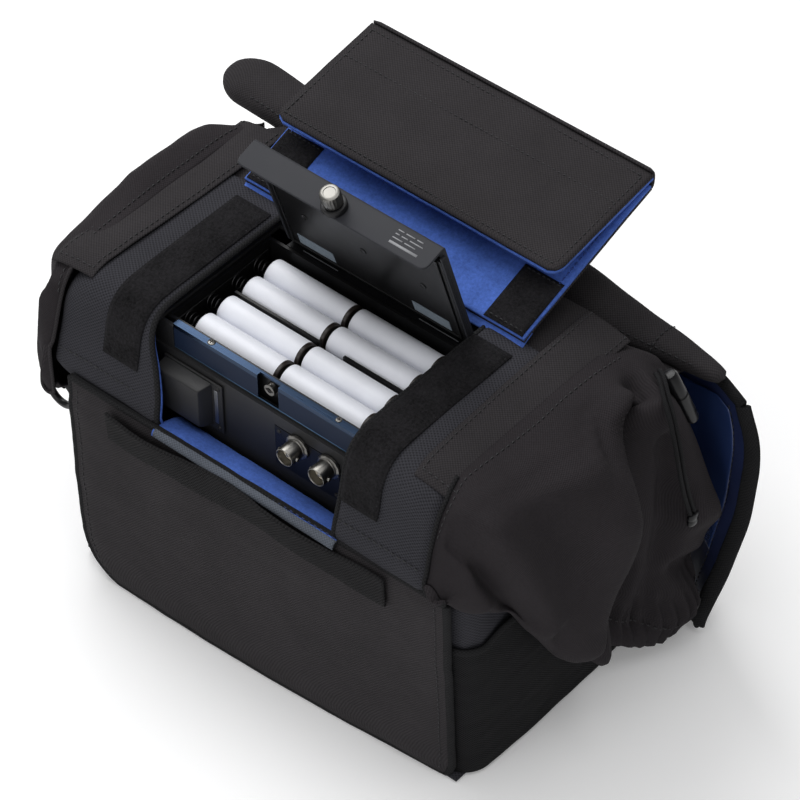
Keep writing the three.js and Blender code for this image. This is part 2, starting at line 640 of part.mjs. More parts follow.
// ---- Case: hood and front cover ----------------------------------------------------------
function sunHood() {
  const { x0, x1, halfWidth, halfHeight } = HOOD;
  const stations = [0, 0.02, 0.06, 0.2, 0.5, 0.67, 0.83, 0.95, 1].map((t) => {
    const end = along([[0, 0.45], [0.02, 0.75], [0.06, 1], [0.95, 1], [1, 0.7]], t);
    const x = mix(x0, x1, t);
    const y = along(HOOD_Y, x);
    const z = along(HOOD_Z, x);
    const ring = [];
    for (let k = 0; k < 14; k += 1) {
      const angle = (k / 14) * Math.PI * 2;
      ring.push([y + halfWidth * end * Math.cos(angle), z + halfHeight * end * Math.sin(angle)]);
    }
    return { at: x, ring };
  });
  return loft('x', stations);
}

function frontCover() {
  const surface = (u, v) => {
    const level = mix(-14, COVER.bottom, v);
    const right = along([[-152, 202], [-118, 208], [-76, 214], [-33, 214], [-20, 211], [-14, 206]], level);
    const x = mix(-56, right, u);
    const z = mix(along(COVER_TOP, x), COVER.bottom, v);
    const curl = Math.max(0, (x - 182) / 22);
    const pull = along([[-152, 24], [-118, 13], [-76, 8], [-16, 5]], z);
    return [x, 137 - curl * pull, z];
  };
  return sheet(14, 8, surface, [0, COVER.thickness, 0]);
}

// ---- Case: flap over the battery door ----------------------------------------------------
function buildFlap() {
  const { x0, x1, baseY, baseZ, foldY, foldZ, thickness } = FLAP;
  const slope = Math.atan2(foldZ - baseZ, foldY - baseY);
  const length = Math.hypot(foldZ - baseZ, foldY - baseY);
  const lower = new THREE.Group();
  lower.position.set(0, baseY, baseZ);
  lower.rotation.x = slope;
  datum.add(lower);
  add('flap_lower', box(x0, x1, 1, length - 2, 0, thickness), finish.felt, lower);
  [['flap_hook_left', x0 + 1], ['flap_hook_right', x1 - 23]].forEach(([name, x]) => {
    add(name, box(x, x + 22, 2, 31, thickness + GAP, thickness + GAP + 1.5), finish.loop, lower);
  });
  const upper = new THREE.Group();
  upper.position.set(0, foldY, foldZ);
  upper.rotation.x = THREE.MathUtils.degToRad(FLAP_UPPER_DROP);
  datum.add(upper);
  add('flap_upper', box(x0, x1, -FLAP_UPPER_LENGTH, 0, thickness + FLAP_FOLD_GAP,
    2 * thickness + FLAP_FOLD_GAP), finish.nylon, upper);
}

// ---- Case: pocket, cord, fittings --------------------------------------------------------
function meshPocket() {
  const surface = (u, v) => {
    const y = mix(-14, 88, u);
    const z = mix(FLOOR + 0.5, -50, v);
    return [BAG.x1 + GAP, y, z];
  };
  return sheet(8, 4, surface, [2, 0, 0]);
}

const CORD_ROUTE = [[183, 96, 13], [186.4, 93.6, 14.4], [191, 90, 13.6], [196.4, 86, 10.4],
  [201.4, 83.2, 5], [205, 81.8, -3],
  [207.4, 81.8, -12.6], [208.6, 83, -23], [209, 85.4, -34], [209.2, 88.6, -45], [209.4, 92, -55]];
const CORD_DIAMETER = 2;
const CORD_SPACING = 3;

const RING = { x: -72, y: -21.5, z: -64.6, radius: 8, wire: 1.7 }; // z is where the wire passes its tab

function cordTube(shift) {
  const points = CORD_ROUTE.map(([x, y, z]) => new THREE.Vector3(x, y + shift, z));
  const circle = new THREE.Shape();
  circle.absarc(0, 0, CORD_DIAMETER / 2, 0, Math.PI * 2);
  const path = new THREE.CatmullRomCurve3(points);
  return new THREE.ExtrudeGeometry(circle, { extrudePath: path, steps: 18, curveSegments: 4,
    bevelEnabled: false });
}

function cordEnd() {
  return box(207.4, 211.2, 91, 98.2, -63.4, -56.3);
}

function cordSlide() {
  const slide = new THREE.CylinderGeometry(3.9, 3.2, 32.5, 16);
  const lean = new THREE.Quaternion().setFromUnitVectors(
    new THREE.Vector3(0, 1, 0), new THREE.Vector3(-10, -10, 34).normalize());
  return slide.applyQuaternion(lean).translate(191.7, 104, -1.5);
}

function dRing() {
  const { x, y, z, radius, wire } = RING;
  return new THREE.TorusGeometry(radius, wire, 8, 20).rotateX(Math.PI / 2).translate(x, y, z - radius);
}

function dRingTab() {
  const { x, y, z } = RING;
  const bore = rod('x', x - 5, x + 5, [y, z - 0.4], 2.5, 12);
  return cut(box(x - 3.5, x + 3.5, y - 3.4, y + 3.4, z - 3.6, z + 4), bore);
}

function buildCase() {
  add('case_body', caseBody(), finish.nylon);
  add('near_panel', nearPanel(), finish.nylon);
  add('near_hook_strip', nearHookStrip(), finish.loop);
  add('case_lining', caseLining(), finish.felt);
  buildStraps();
  buildPlackets();
  add('left_sleeve', leftSleeve(), finish.nylon);
  add('right_sleeve', rightSleeve(), finish.nylon);
  add('case_deck', caseDeck(), finish.nylon);
  add('sun_hood', sunHood(), finish.nylon);
  add('front_cover', frontCover(), finish.nylon);
  buildFlap();
  add('mesh_pocket', meshPocket(), finish.weave);
  add('drawcord_inner', cordTube(0), finish.cord);
  add('drawcord_outer', cordTube(CORD_SPACING), finish.cord);
  add('cord_end', cordEnd(), finish.gloss);
  add('cord_slide', cordSlide(), finish.gloss);
  add('d_ring', dRing(), finish.gloss);
  add('d_ring_tab', dRingTab(), finish.weave);
}

buildRecorder();
buildCells();
buildDoor();
buildCase();

// The origin is the middle of the part's footprint, on the surface that it stands on.
assembly.updateMatrixWorld(true);
const bounds = new THREE.Box3().setFromObject(datum, true);
datum.position.set(-(bounds.min.x + bounds.max.x) / 2, -(bounds.min.y + bounds.max.y) / 2, -bounds.min.z);

export default assembly;
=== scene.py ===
"""The look of the portable field recorder in its soft carrying case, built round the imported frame.

Lengths are in millimetres from the part's datum, which lies on the front cell row's axis, CELL_START
to the left of its first cell. P() turns them into metres in the row frame.
"""
import math
import random

import bpy
from mathutils import Matrix, Vector, noise


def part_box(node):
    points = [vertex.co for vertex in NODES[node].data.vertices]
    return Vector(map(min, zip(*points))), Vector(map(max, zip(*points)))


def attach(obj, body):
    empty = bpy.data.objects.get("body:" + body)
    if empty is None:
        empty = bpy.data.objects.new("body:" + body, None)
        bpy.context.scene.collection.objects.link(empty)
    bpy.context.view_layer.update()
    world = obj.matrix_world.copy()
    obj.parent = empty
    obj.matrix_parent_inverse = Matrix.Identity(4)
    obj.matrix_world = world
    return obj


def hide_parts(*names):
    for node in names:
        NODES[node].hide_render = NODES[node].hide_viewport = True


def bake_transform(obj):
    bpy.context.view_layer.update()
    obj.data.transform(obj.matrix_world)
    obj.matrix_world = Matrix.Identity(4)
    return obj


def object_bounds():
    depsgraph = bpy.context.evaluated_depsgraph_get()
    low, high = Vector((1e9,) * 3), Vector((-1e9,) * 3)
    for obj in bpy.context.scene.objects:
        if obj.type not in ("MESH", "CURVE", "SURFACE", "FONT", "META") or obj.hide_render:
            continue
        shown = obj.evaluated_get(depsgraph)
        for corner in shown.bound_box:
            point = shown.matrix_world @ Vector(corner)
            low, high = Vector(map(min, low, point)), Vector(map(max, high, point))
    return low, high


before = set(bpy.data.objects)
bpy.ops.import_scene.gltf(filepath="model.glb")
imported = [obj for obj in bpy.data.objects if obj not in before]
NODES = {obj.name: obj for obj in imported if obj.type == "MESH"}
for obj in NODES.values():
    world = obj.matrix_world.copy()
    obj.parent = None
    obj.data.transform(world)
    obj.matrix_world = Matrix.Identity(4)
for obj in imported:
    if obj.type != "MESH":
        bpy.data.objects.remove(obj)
CAD_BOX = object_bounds()
MM = 0.001
CELL_START = 2.6
CELL_RADIUS = 7.25
CELL_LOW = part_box("cell_1")[0]
DATUM = Vector((CELL_LOW[0] - CELL_START * MM, CELL_LOW[1] + CELL_RADIUS * MM,
                CELL_LOW[2] + CELL_RADIUS * MM))


def P(x, y, z):
    return Vector((x, y, z)) * MM + DATUM


def mix(a, b, t):
    return a + (b - a) * t


def clamp(t, low=0.0, high=1.0):
    return max(low, min(high, t))


def smooth(t):
    t = clamp(t)
    return t * t * (3 - 2 * t)


def bell(t):
    return math.exp(-t ** 2)


def along(table, at):
    """The value of a table of (place, value) pairs at one place."""
    if at <= table[0][0]:
        return table[0][1]
    for (a, va), (b, vb) in zip(table, table[1:]):
        if at <= b:
            return mix(va, vb, (at - a) / (b - a))
    return table[-1][1]


def smoothed(table, at, reach=9.0):
    return sum(along(table, at + reach * k / 3) for k in range(-3, 4)) / 7


def wrinkle(a, b, seed, scale=30.0, stretch=1.0):
    return noise.noise(Vector((a / scale, b / (scale * stretch), seed)))


def curve_through(points, count):
    """Evenly spaced points on a smooth curve through the given ones."""
    pts = [Vector(p) for p in points]
    ends = [2 * pts[0] - pts[1]] + pts + [2 * pts[-1] - pts[-2]]
    steps = 24
    dense = []
    for i in range(len(pts) - 1):
        p0, p1, p2, p3 = ends[i:i + 4]
        for k in range(steps):
            t = k / steps
            dense.append(0.5 * (2 * p1 + (p2 - p0) * t + (2 * p0 - 5 * p1 + 4 * p2 - p3) * t * t
                                + (3 * p1 - p0 - 3 * p2 + p3) * t ** 3))
    dense.append(pts[-1])
    lengths = [0.0]
    for a, b in zip(dense, dense[1:]):
        lengths.append(lengths[-1] + (b - a).length)
    out, j = [], 0
    for k in range(count):
        want = lengths[-1] * k / (count - 1)
        while j < len(dense) - 2 and lengths[j + 1] < want:
            j += 1
        span = lengths[j + 1] - lengths[j] or 1
        out.append(dense[j].lerp(dense[j + 1], clamp((want - lengths[j]) / span)))
    return out


def curve_point(points, t):
    i = clamp(t) * (len(points) - 1)
    k = min(int(i), len(points) - 2)
    return points[k].lerp(points[k + 1], i - k)


def shifted(points, x, y, z):
    return [Vector(p) + Vector((x, y, z)) for p in points]


# ---- Camera and light ----------------------------------------------------------------------
AZ, EL, ROLL = (math.radians(a) for a in (40.98968, 45.0748, -0.51258))
EYE = (830.942, -819.6488, 1117.2946)
SENSOR, LENS = 36.0, 162.0
STUDIO_LEVEL = 0.34


def make_camera():
    back = Vector((math.sin(AZ) * math.cos(EL), -math.cos(AZ) * math.cos(EL), math.sin(EL)))
    right = Vector((math.cos(AZ), math.sin(AZ), 0))
    up = back.cross(right)
    rolled_right = right * math.cos(ROLL) + up * math.sin(ROLL)
    rolled_up = up * math.cos(ROLL) - right * math.sin(ROLL)
    turn = Matrix((rolled_right, rolled_up, back)).transposed()
    data = bpy.data.cameras.new("camera")
    data.sensor_width, data.lens = SENSOR, LENS
    data.clip_start, data.clip_end = 0.05, 60
    cam = bpy.data.objects.new("camera", data)
    cam.matrix_world = Matrix.Translation(P(*EYE)) @ turn.to_4x4()
    bpy.context.collection.objects.link(cam)
    bpy.context.scene.camera = cam


def area_light(name, at, target, size, power):
    data = bpy.data.lights.new(name, "AREA")
    data.shape = "RECTANGLE"
    data.size, data.size_y, data.energy = size[0], size[1], power
    lamp = bpy.data.objects.new(name, data)
    lamp.location = P(*at)
    lamp.rotation_euler = (P(*target) - P(*at)).to_track_quat("-Z", "Y").to_euler()
    bpy.context.collection.objects.link(lamp)


make_camera()
scene = bpy.context.scene
scene.view_settings.view_transform = "Standard"
scene.view_settings.look = "None"
world = bpy.data.worlds.new("studio")
world.use_nodes = True
world.node_tree.nodes["Background"].inputs[0].default_value = (1, 1, 1, 1)
world.node_tree.nodes["Background"].inputs[1].default_value = STUDIO_LEVEL
scene.world = world
area_light("key", (-700, 300, 1100), (60, 30, 0), (0.9, 0.9), 12.5)
area_light("overhead", (200, -100, 1300), (60, 30, 0), (1.4, 1.0), 6.5)
area_light("front", (300, -1300, 500), (60, 0, -60), (1.2, 0.8), 4.6)

# ---- Materials -----------------------------------------------------------------------------


class Nodes:
    """A small helper that adds and wires shader nodes."""

    def __init__(self, name):
        self.mat = bpy.data.materials.new(name)
        self.mat.use_nodes = True
        self.tree = self.mat.node_tree
        self.shader = self.tree.nodes["Principled BSDF"]
        self.coords = self.tree.nodes.new("ShaderNodeTexCoord")

    def node(self, kind, **settings):
        made = self.tree.nodes.new("ShaderNode" + kind)
        for key, value in settings.items():
            setattr(made, key, value)
        return made

    def link(self, source, target):
        self.tree.links.new(source, target)

    def put(self, socket, value):
        if isinstance(value, bpy.types.NodeSocket):
            self.link(value, socket)
        else:
            socket.default_value = value

    def math(self, operation, a, b=0.0):
        made = self.node("Math", operation=operation)
        self.put(made.inputs[0], a)
        self.put(made.inputs[1], b)
        return made.outputs[0]

    def add(self, a, b):
        return self.math("ADD", a, b)

    def times(self, a, b):
        return self.math("MULTIPLY", a, b)

    def uv(self):
        """The two directions of the cloth, in mm."""
        made = self.node("SeparateXYZ")
        self.link(self.coords.outputs["UV"], made.inputs[0])
        return made.outputs[0], made.outputs[1]

    def stretched(self, scale):
        made = self.node("Mapping")
        self.link(self.coords.outputs["Object"], made.inputs["Vector"])
        made.inputs["Scale"].default_value = scale
        return made.outputs[0]

    def noise(self, scale, detail=3.0, vector=None, rough=0.6):
        made = self.node("TexNoise")
        self.link(vector or self.coords.outputs["Object"], made.inputs["Vector"])
        made.inputs["Scale"].default_value = scale
        made.inputs["Detail"].default_value = detail
        made.inputs["Roughness"].default_value = rough
        return made.outputs["Fac"]

    def ramp(self, value, low, high, out_low=0.0, out_high=1.0):
        made = self.node("MapRange")
        made.inputs["From Min"].default_value = low
        made.inputs["From Max"].default_value = high
        made.inputs["To Min"].default_value = out_low
        made.inputs["To Max"].default_value = out_high
        self.link(value, made.inputs["Value"])
        return made.outputs[0]

    def blend(self, factor, a, b):
        made = self.node("Mix", data_type="RGBA")
        self.put(made.inputs["Factor"], factor)
        made.inputs["A"].default_value = (*a, 1)
        made.inputs["B"].default_value = (*b, 1)
        return made.outputs["Result"]

    def bump(self, height, strength, distance):
        made = self.node("Bump")
        made.inputs["Strength"].default_value = strength
        made.inputs["Distance"].default_value = distance
        self.link(height, made.inputs["Height"])
        self.link(made.outputs[0], self.shader.inputs["Normal"])

    def set(self, **values):
        for key, value in values.items():
            self.put(self.shader.inputs[key.replace("_", " ")], value)


def shade(color, by, plus=0.0):
    return tuple(min(1, c * by + plus) for c in color)


def woven(name, color, thread, contrast=0.5, rough=0.95, depth=0.35, worn=1.35, skew=1.0):
    """Plain-woven cloth. thread is the width of one thread in mm."""
    n = Nodes(name)
    across, up = n.uv()
    wobble = n.times(n.noise(160, 2), 0.9)
    a = n.math("SINE", n.add(n.times(across, math.pi / thread), wobble))
    b = n.math("SINE", n.add(n.times(up, math.pi / (thread * skew)), wobble))
    weave = n.add(n.times(n.times(a, b), 0.5), 0.5)
    grain = n.noise(900, 3)
    patch = n.ramp(n.noise(26, 4), 0.3, 0.75, 0.8, 1.2)
    level = n.times(n.add(n.times(weave, contrast), n.times(grain, 0.45)), patch)
    n.set(Base_Color=n.blend(n.ramp(level, 0.15, 0.95), shade(color, 0.55), shade(color, worn)),
          Roughness=n.ramp(weave, 0, 1, rough, rough - 0.12), Specular_IOR_Level=0.08)
    n.bump(n.add(weave, n.times(grain, 0.5)), depth, 0.0004)
    return n.mat


def felt(name, color, dark=0.55, sheen=0.12, scale=700, depth=0.6, bright=1.15):
    n = Nodes(name)
    fine = n.noise(scale, 5, rough=0.75)
    mottle = n.add(n.times(fine, 0.75), n.times(n.noise(60, 3), 0.35))
    n.set(Base_Color=n.blend(n.ramp(mottle, 0.35, 0.75), shade(color, dark), shade(color, bright)),
          Roughness=0.95, Sheen_Weight=sheen, Sheen_Roughness=0.6, Specular_IOR_Level=0.15,
          Sheen_Tint=(*shade(color, 2, 0.15), 1))
    n.bump(fine, depth, 0.0006)
    return n.mat


def plastic(name, color, rough=0.4, grain=0.0, grain_scale=1400, metal=0.0, spec=0.5, scuff=0.12):
    n = Nodes(name)
    smudge = n.noise(38, 4)
    n.set(Base_Color=n.blend(n.ramp(smudge, 0.35, 0.75), color, shade(color, 1.12, 0.002)),
          Roughness=n.ramp(smudge, 0.3, 0.8, rough, min(1, rough + scuff)),
          Metallic=metal, Specular_IOR_Level=spec)
    if grain:
        n.bump(n.noise(grain_scale, 3), grain, 0.0002)
    return n.mat


def brushed(name, color, rough=0.3, stretch=(30, 900, 900), depth=0.15):
    n = Nodes(name)
    streak = n.noise(1.0, 3, vector=n.stretched(stretch))
    n.set(Base_Color=n.blend(streak, shade(color, 0.85), shade(color, 1.15)),
          Roughness=n.ramp(streak, 0.2, 0.8, rough * 0.8, rough * 1.3), Metallic=1.0)
    n.bump(streak, depth, 0.0001)
    return n.mat


def netting(name, color, pitch=1.5):
    """Open mesh fabric over black cloth: round holes between dull filaments."""
    n = Nodes(name)
    across, up = n.uv()
    a = n.math("SINE", n.times(n.add(across, up), math.pi / pitch))
    b = n.math("SINE", n.times(n.math("SUBTRACT", across, up), math.pi / pitch))
    threads = n.ramp(n.times(n.math("ABSOLUTE", a), n.math("ABSOLUTE", b)), 0.1, 0.6, 1.0, 0.0)
    n.set(Base_Color=n.blend(threads, (0.002, 0.002, 0.002), color), Roughness=0.85, Specular_IOR_Level=0.1)
    n.bump(threads, 0.6, 0.0006)
    return n.mat


NYLON = woven("nylon", (0.0315, 0.029, 0.031), 0.8, 0.7)
NYLON_SOFT = woven("nylon_soft", (0.0265, 0.0235, 0.0258), 0.7, 0.6)
WEAVE = woven("ballistic_weave", (0.0235, 0.0235, 0.0275), 1.1, 1.2, depth=0.7, skew=0.8, worn=1.7)
WEBBING = woven("edge_tape", (0.0165, 0.0165, 0.0175), 0.9, 0.7, depth=0.6)
GREY_TAPE = woven("grey_tape", (0.05, 0.052, 0.058), 0.6, 0.5, depth=0.6)
HEM_TAPE = woven("hem_tape", (0.1, 0.112, 0.135), 0.8, 0.5, depth=0.5)
FELT = felt("felt_blue", (0.068, 0.142, 0.49), dark=0.6, scale=600, bright=1.25)
PILE = felt("loop_pile", (0.0105, 0.01, 0.0112), dark=0.05, sheen=0.0, scale=800, depth=2.5, bright=2.8)
HOOKS = woven("hook_tape", (0.0085, 0.0083, 0.0088), 0.9, 1.1, rough=0.9, depth=1.0, worn=2.2)
THREAD = plastic("thread", (0.018, 0.018, 0.02), 0.7, grain=0.5, grain_scale=3000)
BLUE_THREAD = plastic("thread_blue", (0.02, 0.05, 0.22), 0.7)
DARK_THREAD = plastic("thread_dark", (0.012, 0.025, 0.09), 0.7)
MESH = netting("mesh_net", (0.022, 0.022, 0.024))
CORD = woven("braid", (0.016, 0.016, 0.017), 0.5, 0.8, depth=0.7)
SHELL = plastic("case_black", (0.016, 0.016, 0.017), 0.42, grain=0.25, spec=0.3)
GLOSS = plastic("gloss_black", (0.006, 0.006, 0.007), 0.26, scuff=0.08, spec=0.25)
DOOR_PAINT = plastic("door_paint", (0.027, 0.028, 0.033), 0.48, grain=0.1, spec=0.15)
INNER = plastic("door_inner_black", (0.006, 0.006, 0.0065), 0.3, grain=0.1, grain_scale=700, spec=0.3)
# The trim strip is dark metal, and its blue tint is a painted reflection of the blue lining.
STRIP_METAL_BLUE_REFLECTION = brushed("blue_metal", (0.032, 0.052, 0.092), 0.28)
NICKEL = brushed("nickel", (0.19, 0.184, 0.172), 0.3, (300, 300, 300), 0.01)
# Painted shade for the trim strip's rear face.
STRIP_FACE_SHADE = plastic("strip_face_painted_shade", (0.009, 0.016, 0.036), 0.4, spec=0.12)
# A painted highlight for the trim strip's lower edge.
STRIP_EDGE_HIGHLIGHT = plastic("strip_edge_painted_highlight", (0.05, 0.11, 0.2), 0.3, metal=0.5)
SPRING = brushed("spring_wire", (0.62, 0.62, 0.62), 0.25, (600, 600, 600), 0.02)
# Bright metal for the connector's contact slit; also painted highlights on the hinge edges.
BRIGHT_METAL_AND_HIGHLIGHT = plastic("bright_contact_and_painted_highlight", (0.3, 0.31, 0.33), 0.3, metal=1.0)
DULL = brushed("dull_steel", (0.06, 0.06, 0.062), 0.4, (600, 600, 600), 0.02)
CELL_WHITE = plastic("cell_white", (0.73, 0.745, 0.8), 0.36, scuff=0.1, spec=0.3)
# The cells' own dark ring; also painted shade in the screw recesses and the lock screw's slot.
DARK_RING_AND_SHADE = plastic("cell_ring_and_recess_shade", (0.018, 0.013, 0.011), 0.3)
FOAM = felt("foam_grey", (0.2, 0.24, 0.28), dark=0.7, sheen=0.1, scale=900, depth=0.4)
CREAM = plastic("dielectric", (0.55, 0.5, 0.4), 0.5)
BOARD = plastic("board_green", (0.008, 0.06, 0.025), 0.4, grain=0.3)
GLASS = plastic("dark_glass", (0.004, 0.005, 0.006), 0.05, scuff=0.03)
MARK = plastic("print_grey", (0.26, 0.265, 0.28), 0.6)
RED = plastic("record_red", (0.5, 0.01, 0.01), 0.4)
LINING_NAVY = plastic("lining_navy", (0.012, 0.02, 0.07), 0.38, grain=0.9, grain_scale=70, scuff=0.25)
VINYL = plastic("clear_vinyl", (0.02, 0.04, 0.13), 0.12, grain=1.0, grain_scale=45, scuff=0.2, spec=0.8)

# ---- Mesh helpers --------------------------------------------------------------------------


def mesh_object(name, points, faces, material, body, stands_for=(), uvs=None):
    """points are in mm from the datum."""
    data = bpy.data.meshes.new(name)
    data.from_pydata([P(*p) for p in points], [], faces)
    data.materials.append(material)
    if uvs:
        layer = data.uv_layers.new(name="UVMap")
        for loop in data.loops:
            layer.data[loop.index].uv = uvs[loop.vertex_index]
    data.update()
    data.shade_smooth()
    obj = bpy.data.objects.new(name, data)
    bpy.context.collection.objects.link(obj)
    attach(obj, body)
    if stands_for:
        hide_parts(*stands_for)
    return obj


def ring_faces(rings, sides, start=0):
    """Faces between successive rings of points, with a cap at each end."""
    faces = []
    for i in range(rings - 1):
        low, high = start + i * sides, start + (i + 1) * sides
        for k in range(sides):
            after = (k + 1) % sides
            faces.append((low + k, low + after, high + after, high + k))
    last = start + (rings - 1) * sides
    faces.append(tuple(range(start, start + sides))[::-1])
    faces.append(tuple(range(last, last + sides)))
    return faces


def round_edges(obj, width, segments=3, angle=35, harden=True):
    edge = obj.modifiers.new("rounded", "BEVEL")
    edge.width = width * MM
    edge.segments = segments
    edge.limit_method = "ANGLE"
    edge.angle_limit = math.radians(angle)
    edge.harden_normals = harden


def split_edges(obj, angle):
    split = obj.modifiers.new("edges", "EDGE_SPLIT")
    split.split_angle = math.radians(angle)


def grid(name, surface, nu, nv, material=NYLON, body="case", thick=0.0, stands_for=(),
         closed_u=False, offset=-1.0, keep=None, rim=None):
    """A surface(u, v) in mm over nu by nv cells, with UVs in mm and, if asked, a thickness."""
    row = nu if closed_u else nu + 1
    points = [Vector(surface(i / nu, j / nv)) for j in range(nv + 1) for i in range(row)]
    uvs, rise, middle = [], 0.0, row // 2
    for j in range(nv + 1):
        run = 0.0
        if j:
            rise += (points[j * row + middle] - points[(j - 1) * row + middle]).length
        for i in range(row):
            if i:
                run += (points[j * row + i] - points[j * row + i - 1]).length
            uvs.append((run, rise))
    faces = []
    for j in range(nv):
        for i in range(nu):
            if keep and not keep((i + 0.5) / nu, (j + 0.5) / nv):
                continue
            a, b = j * row + i, j * row + (i + 1) % row
            faces.append((a, b, b + row, a + row))
    used = sorted({v for face in faces for v in face})
    index = {v: k for k, v in enumerate(used)}
    obj = mesh_object(name, [points[v] for v in used], [tuple(index[v] for v in face) for face in faces],
                      material, body, stands_for, uvs=[uvs[v] for v in used])
    if thick:
        wall = obj.modifiers.new("wall", "SOLIDIFY")
        wall.thickness = thick * MM
        wall.offset = offset
        wall.use_even_offset = False
        wall.use_quality_normals = True
        if rim:
            obj.data.materials.append(rim)
            wall.material_offset_rim = 1
    return obj


def tube(name, path, radius, material=WEBBING, body="case", sides=10, stands_for=(),
         squash=1.0, up=(0, 0, 1)):
    """A round or flattened tube along points in mm."""
    pts = [Vector(p) for p in path]
    points, uvs, run, side = [], [], 0.0, Vector(up)
    for i, p in enumerate(pts):
        tangent = (pts[min(i + 1, len(pts) - 1)] - pts[max(i - 1, 0)]).normalized()
        side = (side - tangent * side.dot(tangent)).normalized()
        other = tangent.cross(side)
        if i:
            run += (p - pts[i - 1]).length
        for k in range(sides):
            a = 2 * math.pi * k / sides
            points.append(p + other * radius * math.cos(a) + side * radius * squash * math.sin(a))
            uvs.append((a * radius, run))
    return mesh_object(name, points, ring_faces(len(pts), sides), material, body, stands_for, uvs=uvs)


STITCH = ((0, -0.2, 0.5), (0.25, 0.21, 1), (0.5, 0.29, 1.1), (0.75, 0.21, 1), (1, -0.2, 0.5))


def stitches(name, path, material=THREAD, body="case", pitch=3.2, length=2.2, radius=0.32,
             normal=(0, 0, 1), sides=5):
    """A row of separate stitches along a path, each a short thread that dips in at both ends."""
    pts = [Vector(p) for p in path]
    total = sum((b - a).length for a, b in zip(pts, pts[1:]))
    count = max(2, int(total / pitch))
    even = curve_through(pts, count * 4 + 1)
    points, faces = [], []
    for s in range(count):
        a, b = even[s * 4], even[s * 4 + 4]
        run = (b - a).normalized()
        up = Vector(normal(a)) if callable(normal) else Vector(normal)
        up = (up - run * up.dot(run)).normalized()
        side = run.cross(up)
        faces += ring_faces(len(STITCH), sides, len(points))
        for t, height, wide in STITCH:
            centre = a + run * length * t + up * height
            for k in range(sides):
                angle = 2 * math.pi * k / sides
                points.append(centre + side * radius * wide * math.cos(angle)
                              + up * radius * 0.8 * wide * math.sin(angle))
    return mesh_object(name, points, faces, material, body)


def lathe(name, profile, place, material=NICKEL, body="case", sides=48, stands_for=(),
          ripple=None):
    """profile is (radius, height) pairs; place(x, y, height) puts them in mm from the datum."""
    points = []
    for r, h in profile:
        for k in range(sides):
            a = 2 * math.pi * k / sides
            wide = r + (ripple(r, h, k) if ripple else 0)
            points.append(place(wide * math.cos(a), wide * math.sin(a), h))
    obj = mesh_object(name, points, ring_faces(len(profile), sides), material, body, stands_for)
    split_edges(obj, 38)
    return obj


def block(name, low, high, material, bevel=0.5, body="case", stands_for=(), place=None):
    """A box with rounded edges between two corners."""
    corners = [(x, y, z) for z in (low[2], high[2]) for y in (low[1], high[1]) for x in (low[0], high[0])]
    if place:
        corners = [place(*c) for c in corners]
    faces = [(0, 2, 3, 1), (4, 5, 7, 6), (0, 1, 5, 4), (2, 6, 7, 3), (0, 4, 6, 2), (1, 3, 7, 5)]
    round_edges(mesh_object(name, corners, faces, material, body, stands_for), bevel)


def loft(name, stations, material, body="case", stands_for=(), bevel=0.0):
    """A closed solid through equal rings of points in mm."""
    points = [p for ring in stations for p in ring]
    faces = ring_faces(len(stations), len(stations[0]))
    obj = mesh_object(name, points, faces, material, body, stands_for)
    if bevel:
        round_edges(obj, bevel)


def dress(node, material, bevel=0.0, segments=2):
    """A CAD node whose shape is right keeps it, and gets its material and softened edges."""
    obj = NODES[node]
    obj.data.materials.clear()
    obj.data.materials.append(material)
    if bevel:
        round_edges(obj, bevel, segments, angle=40, harden=False)


# ---- Stage and cords -----------------------------------------------------------------------
FLOOR_REACH = 9
floor_z = CAD_BOX[0][2]
floor_data = bpy.data.meshes.new("floor")
floor_corners = [(x * FLOOR_REACH, y * FLOOR_REACH, floor_z) for x, y in ((-1, -1), (1, -1), (1, 1), (-1, 1))]
floor_data.from_pydata(floor_corners, [], [(0, 1, 2, 3)])
floor = bpy.data.objects.new("floor", floor_data)
floor_look = Nodes("floor_pale")
floor_look.set(Base_Color=(0.97, 0.97, 0.975, 1), Roughness=0.9, Emission_Color=(1, 1, 1, 1),
               Emission_Strength=0.12)
floor_data.materials.append(floor_look.mat)
bpy.context.collection.objects.link(floor)

CORD_ROUTE = [(183, 96, 13), (186.4, 93.6, 14.4), (191, 90, 13.6), (196.4, 86, 10.4), (201.4, 83.2, 5),
              (205, 81.8, -3), (207.4, 81.8, -12.6), (208.6, 83, -23), (209, 85.4, -34), (209.2, 88.6, -45),
              (209.4, 92, -55)]
CORD_SPACING = 3
CORD_DIAMETER = 2.0
CRIMP_AT = Vector((209.3, 94.6, -59.8))
SLIDE_AT = Vector((191.7, 104, -1.5))
SLIDE_TURN = Vector((-10, -10, 34)).normalized().to_track_quat("Z", "Y").to_matrix()

CRIMP = lathe("cord_crimp", [(1.2, 3.7), (2.6, 3.4), (3.1, 2.4), (3.1, 0.6), (2.8, 0), (3.1, -0.6),
                             (3.1, -2.6), (2.4, -3.5), (1.0, -3.8)],
              lambda a, b, h: CRIMP_AT + Vector((a * 0.62, b * 1.15, h)), GLOSS,
              stands_for=("cord_end",))
for name, shift in (("drawcord_inner", 0), ("drawcord_outer", CORD_SPACING)):
    path = curve_through([(x, y + shift, z) for x, y, z in CORD_ROUTE], 36)
    braid = tube(name + "_braid", path, CORD_DIAMETER / 2, CORD, sides=12, stands_for=(name,))
lathe("cord_lock", [(1.5, 16.2), (3.0, 15.8), (3.7, 14.4), (3.8, 3), (3.2, 2.4), (3.2, 1.4), (3.7, 0.8),
                    (3.4, -14), (2.8, -15.6), (1.4, -16.2)],
      lambda a, b, h: SLIDE_AT + SLIDE_TURN @ Vector((a, b, h)), GLOSS, stands_for=("cord_slide",))

